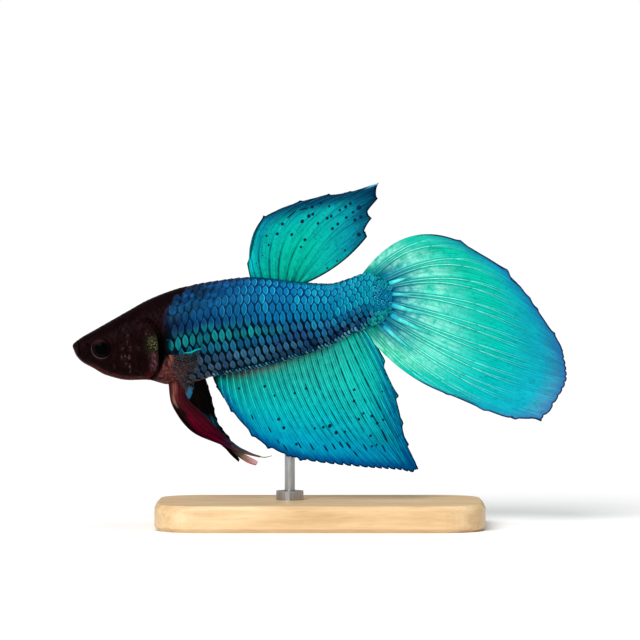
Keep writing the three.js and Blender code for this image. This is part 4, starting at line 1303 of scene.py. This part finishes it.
anal_web = web("anal_fin_web", ANAL)
anal_web.data.materials.append(web_finish(
    "anal_turquoise", ANAL, ANAL_BANDS,
    rim=((0, 60, 120), 0.38, 0.82, -0.1, 0.03, 0.08, 0.93, 0.84), outline=((1, 18, 44), 0.08),
    groove_shade=((0, 36, 50), 0.7, 1.0, 0, 0.65, 0.55, 1.05, 0.8), speck=0.1, lines_share=1.0))
anal_rays = rays("anal_fin_rays", ANAL)
anal_rays.data.materials.append(
    ray_finish("anal_ray_turquoise", (58, 140, 124), (30, 210, 202), (2, 136, 182), 30, dark_until=0.05))

for piece, node in ((tail_web, "tail_fin"), (dorsal_web, "dorsal_fin"), (anal_web, "anal_fin"),
                    (tail_rays, "tail_fin"), (dorsal_rays, "dorsal_fin"), (anal_rays, "anal_fin"),
                    (fingers, "tail_fin")):
    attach(piece, "root")
    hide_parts(node)

# ---------------------------------------------------------------- the dark spots of the fins
# Flecks of black pigment lie in the webs of the back and belly fins, between the rays. Each goes
# right through the sheet, so it is a flat bead that shows on both faces.

# x, z and radius in mm
DORSAL_SPOTS = [
    (-5.7, 46.1, 0.2), (-6.5, 44.6, 0.2), (-8.1, 44.3, 0.17), (-7.8, 42.9, 0.14), (-8.7, 41.3, 0.11),
    (-9.7, 40.1, 0.1), (-2.7, 46.5, 0.24), (-1.7, 47.3, 0.24), (-1.1, 47.6, 0.2), (-4.3, 44.5, 0.19),
    (-2.3, 43.7, 0.19), (-2.9, 42.6, 0.16), (-0.3, 46.2, 0.17), (-1.2, 48.7, 0.2), (0.1, 49.3, 0.18),
    (1.4, 48.8, 0.16), (1.1, 47, 0.2), (1.7, 47.3, 0.18), (3, 48.2, 0.16), (3.9, 48.7, 0.2),
    (4.6, 49.2, 0.18), (2.7, 46.1, 0.19), (1.9, 45.4, 0.19), (4, 47.1, 0.18), (5.3, 46.7, 0.2),
    (6.2, 47.2, 0.2), (5, 47.9, 0.16), (5.9, 48.6, 0.28), (5.9, 44.5, 0.24), (3.8, 42.1, 0.14),
    (2.6, 40.5, 0.13), (1.1, 39.4, 0.13),
]
ANAL_SPOTS = [
    (-12.3, 21.1, 0.17), (-8.4, 21.4, 0.19), (-6.9, 20, 0.13), (-3.8, 20.4, 0.19), (-2.1, 21.1, 0.19),
    (5.2, 20.9, 0.17), (5.2, 19.2, 0.21), (-6.3, 16.4, 0.19), (-5.5, 15.1, 0.21), (-0.8, 15, 0.16),
    (0.5, 15.2, 0.17), (1.5, 15.4, 0.24), (2.5, 14.4, 0.24), (3.8, 14.5, 0.15), (6.6, 17.3, 0.15),
    (5.9, 16.4, 0.19), (7.9, 16.9, 0.21), (8.7, 15.8, 0.21), (9.6, 16.3, 0.15), (7.7, 13.9, 0.17),
    (-3.6, 12.6, 0.17), (7.9, 12.3, 0.13), (8.6, 12.5, 0.13), (9.5, 20.6, 0.12),
]
# x and z of both ends of longer streaks, with their half width
DORSAL_STREAKS = [(-5.1, 46.9, -3.6, 48.2, 0.14), (-3.2, 48.2, -1.7, 48.6, 0.12)]
ANAL_STREAKS = [
    (-10.5, 17.2, -10.1, 16.3, 0.12), (-7.9, 15.3, -7.4, 14.3, 0.12), (0.5, 12.6, 1.3, 11.4, 0.15),
    (1.7, 12.9, 2.4, 11.7, 0.15), (2.9, 13.1, 3.6, 12, 0.15), (4, 13, 4.7, 11.9, 0.17),
    (5.1, 11.6, 5.8, 10.6, 0.13), (6.5, 12.7, 7.2, 11.6, 0.13), (9.3, 15, 10.3, 12.8, 0.17),
    (9.4, 12.6, 10, 11.3, 0.13), (-3.4, 13, -2.8, 11.9, 0.12), (-1.6, 12.8, -0.9, 11.6, 0.12),
    (-5.6, 12.6, -5, 11.6, 0.11), (-6.6, 13.4, -6.1, 12.6, 0.1),
]
spot_finish, tree, shader = finish("black_pigment", Roughness=0.5, Specular_IOR_Level=0.04)
cover(shader, ramp(noise(tree, 0.0003), [(0.3, 0, 16, 36), (0.7, 0, 40, 66)]))


def spots_in(name, sheet, spots, streaks):
    """Beads of pigment set in a finished web, at x and z, along the rays."""
    count = len(sheet.data.vertices)
    corners, outward = np.empty(count * 3), np.empty(count * 3)
    sheet.data.vertices.foreach_get("co", corners)
    sheet.data.vertices.foreach_get("normal", outward)
    corners, outward = corners.reshape(-1, 3) / MM, outward.reshape(-1, 3)
    beads = [(x, z, radius * 1.25, radius * 1.4, math.pi / 3) for x, z, radius in spots]
    for start_x, start_z, end_x, end_z, half in streaks:
        length = math.hypot(end_x - start_x, end_z - start_z)
        beads.append(((start_x + end_x) / 2, (start_z + end_z) / 2, half, length / 2,
                      math.atan2(end_z - start_z, end_x - start_x)))
    bpy.ops.mesh.primitive_ico_sphere_add(subdivisions=2, radius=1)
    bead = bpy.context.object
    ball = np.array([vertex.co for vertex in bead.data.vertices])
    faces = [tuple(face.vertices) for face in bead.data.polygons]
    bpy.data.objects.remove(bead)
    all_corners, all_faces = [], []
    for x, z, half, reach, angle in beads:
        close = np.argsort(np.hypot(corners[:, 0] - x, corners[:, 2] - z))[:8]
        y = corners[close, 1].mean()
        tilt = outward[close[0]] * np.sign(outward[close[0], 1])
        along_x, along_z = math.cos(angle), math.sin(angle)
        x_off = ball[:, 0] * reach * along_x - ball[:, 2] * half * along_z
        z_off = ball[:, 0] * reach * along_z + ball[:, 2] * half * along_x
        sloped = (x_off * tilt[0] + z_off * tilt[2]) / max(tilt[1], 0.4)
        y_off = ball[:, 1] * (WEB_THICKNESS * 0.5 + 0.1) - sloped
        all_faces += [tuple(corner + len(all_corners) * len(ball) for corner in face) for face in faces]
        all_corners.append(np.stack((x + x_off, y + y_off, z + z_off), axis=-1))
    piece = made_of(name, np.vstack(all_corners), all_faces)
    piece.data.materials.append(spot_finish)
    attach(piece, "root")


spots_in("dorsal_fin_spots", dorsal_web, DORSAL_SPOTS, DORSAL_STREAKS)
spots_in("anal_fin_spots", anal_web, ANAL_SPOTS, ANAL_STREAKS)

# ---------------------------------------------------------------- the pelvic fins
# Two long narrow fins hang from the breast. Each is a stiff front spine and a few rays in a
# crimson to black web that folds on itself, and it trails off in bare threads. The left one is
# crimson, and the right one, which lies behind it, is nearly black.

# share of the length, then x, distance from the middle and z along the front and the rear edge
LEFT_FRONT = [(0, -22.9, 1.1, 22.9), (0.2, -22.6, 1.5, 19.6), (0.4, -21.4, 2, 17), (0.6, -19.1, 2.3, 14.5),
              (0.8, -15, 2.3, 12.7), (0.93, -11.4, 2.2, 11.3), (1, -9.2, 2, 10.75)]
LEFT_REAR = [(0, -20.4, 1.3, 23.2), (0.2, -20.2, 1.7, 19.9), (0.4, -18, 2.2, 17.5), (0.6, -15.7, 2.5, 15.2),
             (0.8, -13.4, 2.4, 13.1), (0.93, -10.6, 2.2, 11.4), (1, -9, 2, 10.85)]
RIGHT_FRONT = [(0, -20.6, 1, 23.2), (0.25, -20, 1.6, 18.9), (0.5, -17.9, 2.1, 15.7), (0.75, -15, 2.3, 12.6),
               (0.9, -13.6, 2.3, 10.9), (1, -12.4, 2.3, 9.8)]
RIGHT_REAR = [(0, -17.8, 1, 23.6), (0.25, -16.6, 1.6, 19.6), (0.5, -15.7, 2.2, 16), (0.75, -13.6, 2.4, 13),
              (0.9, -12.9, 2.4, 11.2), (1, -12.3, 2.3, 10.1)]
# threads and the loose tip: x, distance from the middle and z, with the radius at both ends
LEFT_THREAD = ([(-13.4, 2.3, 12.5), (-11.4, 2.2, 11.6), (-9.6, 2.1, 10.9), (-8.4, 2, 10.72),
                (-7.3, 2, 10.95)], 0.14, 0.05)
RIGHT_THREAD = ([(-15.2, 2.3, 12.6), (-13.6, 2.4, 11.1), (-12.35, 2.4, 9.75)], 0.14, 0.02)
RIGHT_TIP_FRONT = [(0, -13.8, 2.2, 11.6), (0.4, -12.2, 2.2, 10.35), (0.8, -10.7, 2.2, 9.5),
                   (1, -9.75, 2.2, 9.25)]
RIGHT_TIP_REAR = [(0, -12.9, 2.2, 11.9), (0.4, -11.5, 2.2, 10.95), (0.8, -10.1, 2.2, 10.15),
                  (1, -9.45, 2.2, 9.75)]


def along_edge(rows, v):
    """Points of a curve at shares v of its length, through rows of (share, x, y, z)."""
    return np.stack([through([(row[0], row[k]) for row in rows])(v) for k in (1, 2, 3)], axis=-1)


def blade(name, front, rear, side, ripples, thickness):
    """A folded web between a front and a rear edge, with its rays as ridges."""
    u, v = np.meshgrid(np.linspace(0, 1, 33), np.linspace(0, 1, 85))
    ahead = along_edge(front, v)
    breadth = along_edge(rear, v) - ahead
    at = ahead + breadth * u[..., None]
    wide = np.linalg.norm(breadth, axis=-1)
    at[..., 1] += 0.13 * np.minimum(wide, 1.6) * np.cos(2 * np.pi * ripples * u + 1.2 * v) * (0.4 + v)
    at[..., 0] += 0.12 * np.sin(9 * v * 6.28) * u**3 * np.minimum(wide / 2, 1)
    at[..., 1] *= side
    return walled(grid_of(name, at), thickness)


def blade_rays(name, front, rear, side, threads, shares, thick):
    """The rays of a blade, with its bare threads."""
    paths, radii, marks = [], [], []
    v = np.linspace(0, 0.97, 40)
    for share in shares:
        ahead = along_edge(front, v)
        paths.append(ahead + (along_edge(rear, v) - ahead) * share)
        radii.append((thick if share == 0 else thick * 0.5) * (1 - 0.8 * v))
        marks.append(v**4)
    for points, start, end in threads:
        t = np.linspace(0, len(points) - 1, 26)
        paths.append(along_edge([(k, *point) for k, point in enumerate(points)], t))
        radii.append(np.linspace(start, end, 26))
        marks.append(0.85 + 0.15 * t / t[-1])
    piece = tubes(name, [path * (1, side, 1) for path in paths], radii, RAY_SIDES)
    mark(piece, "out", np.repeat(np.concatenate(marks), RAY_SIDES))
    return piece


def pelvic_finish(name, bands):
    """Colours of a pelvic web, in bands like those of the other webs, with fine lines down its length."""
    material, tree, shader = finish(name, Roughness=0.4, Specular_IOR_Level=0.02)
    across, out, _ = parts(place_in(tree, sheet="UVMap"))
    wander = (noise(tree, 0.0012, 3.0) - 0.5) * 0.16
    colour = banded(across + wander, out + wander * 0.5, bands)
    lines = noise(tree, 1.0, 4.0, 0.65, (26, 4, 1), "UVMap")
    colour = tinted(colour, lines, (0.36, 0.4, 0.4, 0.42), (0.64, 1.3, 1.3, 1.3))
    cover(shader, colour)
    relief(shader, 0.05, lines, 0.6)
    return material


crimson = pelvic_finish("crimson_web", [
    (0, (0, 70, 18, 20), (0.2, 22, 7, 9), (0.32, 6, 4, 5), (0.6, 6, 3, 5), (0.72, 60, 4, 26),
     (0.84, 70, 16, 40), (1, 120, 84, 56)),
    (0.14, (0, 90, 34, 36), (0.12, 104, 56, 50), (0.24, 146, 104, 88), (0.31, 30, 12, 13), (0.52, 9, 4, 6),
     (0.62, 66, 0, 22), (0.84, 76, 10, 44), (1, 120, 84, 56)),
    (0.3, (0, 82, 24, 28), (0.1, 136, 80, 70), (0.19, 94, 34, 36), (0.28, 40, 14, 16), (0.37, 16, 5, 8),
     (0.46, 72, 0, 22), (0.74, 84, 0, 28), (0.84, 50, 18, 52), (1, 120, 84, 56)),
    (0.52, (0, 78, 22, 28), (0.24, 72, 18, 24), (0.32, 78, 6, 22), (0.72, 84, 0, 26), (0.82, 40, 16, 44),
     (0.88, 36, 66, 86), (1, 110, 76, 52)),
    (0.85, (0, 52, 18, 22), (0.25, 46, 10, 16), (0.5, 60, 5, 22), (0.74, 52, 5, 26), (0.83, 20, 46, 60),
     (0.9, 30, 60, 76), (1, 110, 76, 52)),
])
black_web = pelvic_finish("black_web", [
    (0, (0, 5, 2, 2), (0.5, 3, 2, 2), (0.75, 14, 2, 6), (1, 4, 3, 4)),
    (0.3, (0, 7, 4, 4), (0.2, 18, 14, 8), (0.38, 7, 6, 4), (0.47, 10, 64, 78), (0.54, 6, 8, 12),
     (0.75, 14, 4, 8), (1, 4, 3, 4)),
    (0.6, (0, 3, 2, 2), (0.2, 8, 6, 4), (0.4, 4, 4, 4), (0.5, 16, 82, 104), (0.56, 5, 12, 16),
     (0.68, 3, 30, 28), (0.8, 8, 4, 6), (1, 4, 3, 4)),
    (1, (0, 4, 3, 4), (0.45, 5, 5, 6), (0.53, 4, 48, 56), (0.6, 5, 8, 10), (0.7, 2, 34, 30),
     (0.8, 5, 4, 5), (1, 4, 3, 4)),
])
pink_web = pelvic_finish("pink_web", [
    (0, (0, 14, 10, 10), (0.35, 70, 66, 52), (0.6, 170, 124, 116), (1, 214, 150, 168)),
    (1, (0, 20, 14, 12), (0.35, 96, 88, 66), (0.6, 196, 150, 130), (1, 226, 176, 184)),
])
spine_finish = ray_finish("dark_spine", (60, 16, 18), (24, 3, 9), (120, 84, 46), 40, (1, 1, 1, 1))
dark_spine_finish = ray_finish("black_spine", (10, 6, 6), (6, 4, 5), (5, 4, 5), 40, (1, 1, 1, 1))

for piece, material, node in (
    (blade("pelvic_fin_left_web", LEFT_FRONT, LEFT_REAR, -1, 2.4, 0.16), crimson, "pelvic_fin_left"),
    (blade("pelvic_fin_right_web", RIGHT_FRONT, RIGHT_REAR, 1, 3.2, 0.13), black_web, "pelvic_fin_right"),
    (blade("pelvic_fin_right_tip", RIGHT_TIP_FRONT, RIGHT_TIP_REAR, 1, 1.0, 0.13), pink_web,
     "pelvic_fin_right"),
):
    piece.data.materials.append(material)
    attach(piece, "root")
    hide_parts(node)
for piece, material in (
    (blade_rays("pelvic_fin_left_rays", LEFT_FRONT, LEFT_REAR, -1, [LEFT_THREAD],
                (0, 0.3, 0.52, 0.74, 1), 0.2), spine_finish),
    (blade_rays("pelvic_fin_right_rays", RIGHT_FRONT, RIGHT_REAR, 1, [RIGHT_THREAD],
                (0, 0.35, 0.6, 0.82, 1), 0.16), dark_spine_finish),
):
    piece.data.materials.append(material)
    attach(piece, "root")

# ---------------------------------------------------------------- the pectoral fins
# Behind each gill cover a small fan of thin rays stands off the flank. Its web is clear and
# greyish, so the scales show through it, and its top ray gleams turquoise.

PECTORAL_GUIDES = [
    (0, -22.9, 26.3, -20.5, 26.4, -18, 27.4),
    (0.3, -22.8, 26, -20.4, 25.4, -18.1, 25.5),
    (0.65, -22.7, 25.6, -20.9, 23.6, -18.8, 22.9),
    (0.82, -22.6, 25.3, -21.4, 22.9, -19, 21.5),
    (1, -22.6, 25.2, -21.8, 22.4, -19.7, 19.6),
]


def pectoral(side):
    """The plan of one pectoral fin, on the left for -1."""
    return {"guides": PECTORAL_GUIDES, "rays": 8, "first": 0.4, "second": 0.9, "sag": 0.05, "pair": 0.0,
            "points": 1, "shift": 0, "rounded": 1, "notch": [(0, 0.2), (1, 0.2)], "barbs": [],
            "thick": 0.05, "tip": 0.02, "wave": lambda u, v: side * (3.75 + 1.5 * v + 0.4 * u * v),
            "across": 10, "along": 40}


clear_finish, tree, shader = finish("clear_grey_web", Roughness=0.4, Specular_IOR_Level=0.06)
across, out, _ = parts(place_in(tree, sheet="UVMap"))
streaks = noise(tree, 1.0, 1.0, 0.5, (26, 1.6, 1), "UVMap")
colour = ramp(streaks, [(0.36, 20, 17, 18), (0.66, 56, 50, 50)])
root_share = rise(out, 0.2, 0.04) * rise(across, 0.95, 0.5)
colour = blend(root_share, colour, (128, 70, 52))
blue_tip = rise(across, 0.8, 0.9) * rise(out, 0.82, 0.9)
colour = blend(blue_tip, colour, (26, 84, 116))
cover(shader, colour)
see = rise(streaks, 0.4, 0.62) * rise(out, 1.2, 0.3) * 0.26 + 0.18
see = clamp(see + step("MAXIMUM", root_share, blue_tip) * 0.6)
feed(shader.inputs["Alpha"], see)
grey_ray = ray_finish("grey_ray", (104, 60, 48), (50, 44, 44), (24, 44, 56), 8, (1, 1, 1, 1))
gleam_ray = ray_finish("turquoise_ray", (30, 120, 112), (16, 156, 146), (14, 150, 144), 8)

for name, way in (("left", -1), ("right", 1)):
    plan = pectoral(way)
    sheet = web("pectoral_fin_web_" + name, plan)
    sheet.data.materials.append(clear_finish)
    fan = rays("pectoral_fin_rays_" + name, plan)
    fan.data.materials.append(grey_ray)
    v = np.linspace(0.45, 1, 24)
    top_path = spread(plan)(0.01 + 0 * v, v) + np.stack((0 * v, 0 * v, 0.07 * np.sin(v * 16)), axis=-1)
    top_radius = 0.04 + 0.1 * np.sin(np.pi * (v - 0.45) / 0.6)
    top_ray = tubes("pectoral_fin_top_ray_" + name, [top_path], [top_radius], 10)
    mark(top_ray, "out", np.repeat(v, 10))
    top_ray.data.materials.append(gleam_ray)
    for piece in (sheet, fan, top_ray):
        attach(piece, "root")
        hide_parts("pectoral_fin_" + name)

# ---------------------------------------------------------------- the stand
# The base is a small maple block with rounded corners and a soft edge, oiled to a satin.
# A brushed steel rod stands in it behind the anal fin and holds the body, with a steel collar
# where it enters the wood.

wood_finish, tree, shader = finish("oiled_maple", Roughness=0.42, Specular_IOR_Level=0.4)
figure = noise(tree, 0.0016, 4.0, 0.6, (0.12, 1, 1))
pore = noise(tree, 0.0003, 3.0, 0.6, (0.05, 1, 1))
colour = ramp(figure, [(0.3, 196, 160, 112), (0.5, 214, 180, 134), (0.7, 226, 196, 152)])
colour = blend(rise(pore, 0.55, 0.75) * 0.35, colour, (170, 128, 84))
cover(shader, colour)
relief(shader, 0.03, pore, 0.4)

steel_finish, tree, shader = finish("brushed_steel", Metallic=1.0, Roughness=0.34)
brush = noise(tree, 0.0002, 3.0, 0.6, (1, 1, 0.06))
cover(shader, ramp(brush, [(0.3, 150, 152, 154), (0.7, 190, 192, 194)]))
relief(shader, 0.01, brush, 0.3)

for node, material in (("stand_base", wood_finish), ("stand_rod", steel_finish),
                       ("stand_collar", steel_finish)):
    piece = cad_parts[node]
    piece.data.materials.clear()
    piece.data.materials.append(material)

# ---------------------------------------------------------------- the studio
# A wide pale floor under a white surround, lit from the front left by a big soft lamp and from
# above by a weaker one. The camera looks at the fish's left side, level and from afar.

FLOOR_SIZE = 6.0
VIEW_WIDTH = 0.0973
VIEW_HEIGHT = 0.0315
VIEW_TILT = math.radians(2)
LENS = 320

bpy.ops.mesh.primitive_plane_add(size=FLOOR_SIZE, location=(0, 0, cad_box[0][2]))
floor = bpy.context.object
floor.name = "studio_floor"
bpy.ops.object.transform_apply(location=True, rotation=True, scale=True)
floor_finish, tree, shader = finish("pale_floor", Roughness=0.9, Specular_IOR_Level=0.1)
floor_colour = ramp(noise(tree, 0.2), [(0.3, (0.93, 0.93, 0.93, 1)), (0.7, (0.95, 0.95, 0.95, 1))])
cover(shader, floor_colour)
floor.data.materials.append(floor_finish)

world = bpy.data.worlds.new("studio_surround")
bpy.context.scene.world = world
world.use_nodes = True
tree = world.node_tree
surround = tree.nodes["Background"]
surround.inputs["Color"].default_value = (1, 1, 1, 1)
sight = tree.nodes.new("ShaderNodeLightPath")
feed(surround.inputs["Strength"], Shade(sight.outputs["Is Camera Ray"]) * 0.66 + 0.34)

for name, strength, spread_angle, towards in (
    ("key", 2.9, 34, (0.34, 0.74, -0.58)),
    ("top", 0.9, 50, (0.0, 0.05, -1.0)),
):
    bpy.ops.object.light_add(type="SUN", location=(0, 0, 0.5))
    lamp = bpy.context.object
    lamp.name = name
    lamp.data.energy = strength
    lamp.data.angle = math.radians(spread_angle)
    direction = np.array(towards) / np.linalg.norm(towards)
    lamp.rotation_euler = (math.acos(-direction[2]), 0, math.atan2(direction[1], direction[0]) - math.pi / 2)

bpy.ops.object.camera_add()
camera = bpy.context.object
camera.data.lens = LENS
camera.data.clip_start = 0.01
far = VIEW_WIDTH * LENS / camera.data.sensor_width
camera.location = (0, -far * math.cos(VIEW_TILT), VIEW_HEIGHT + far * math.sin(VIEW_TILT))
camera.rotation_euler = (math.pi / 2 - VIEW_TILT, 0, 0)
bpy.context.scene.camera = camera
bpy.context.scene.view_settings.view_transform = "Standard"
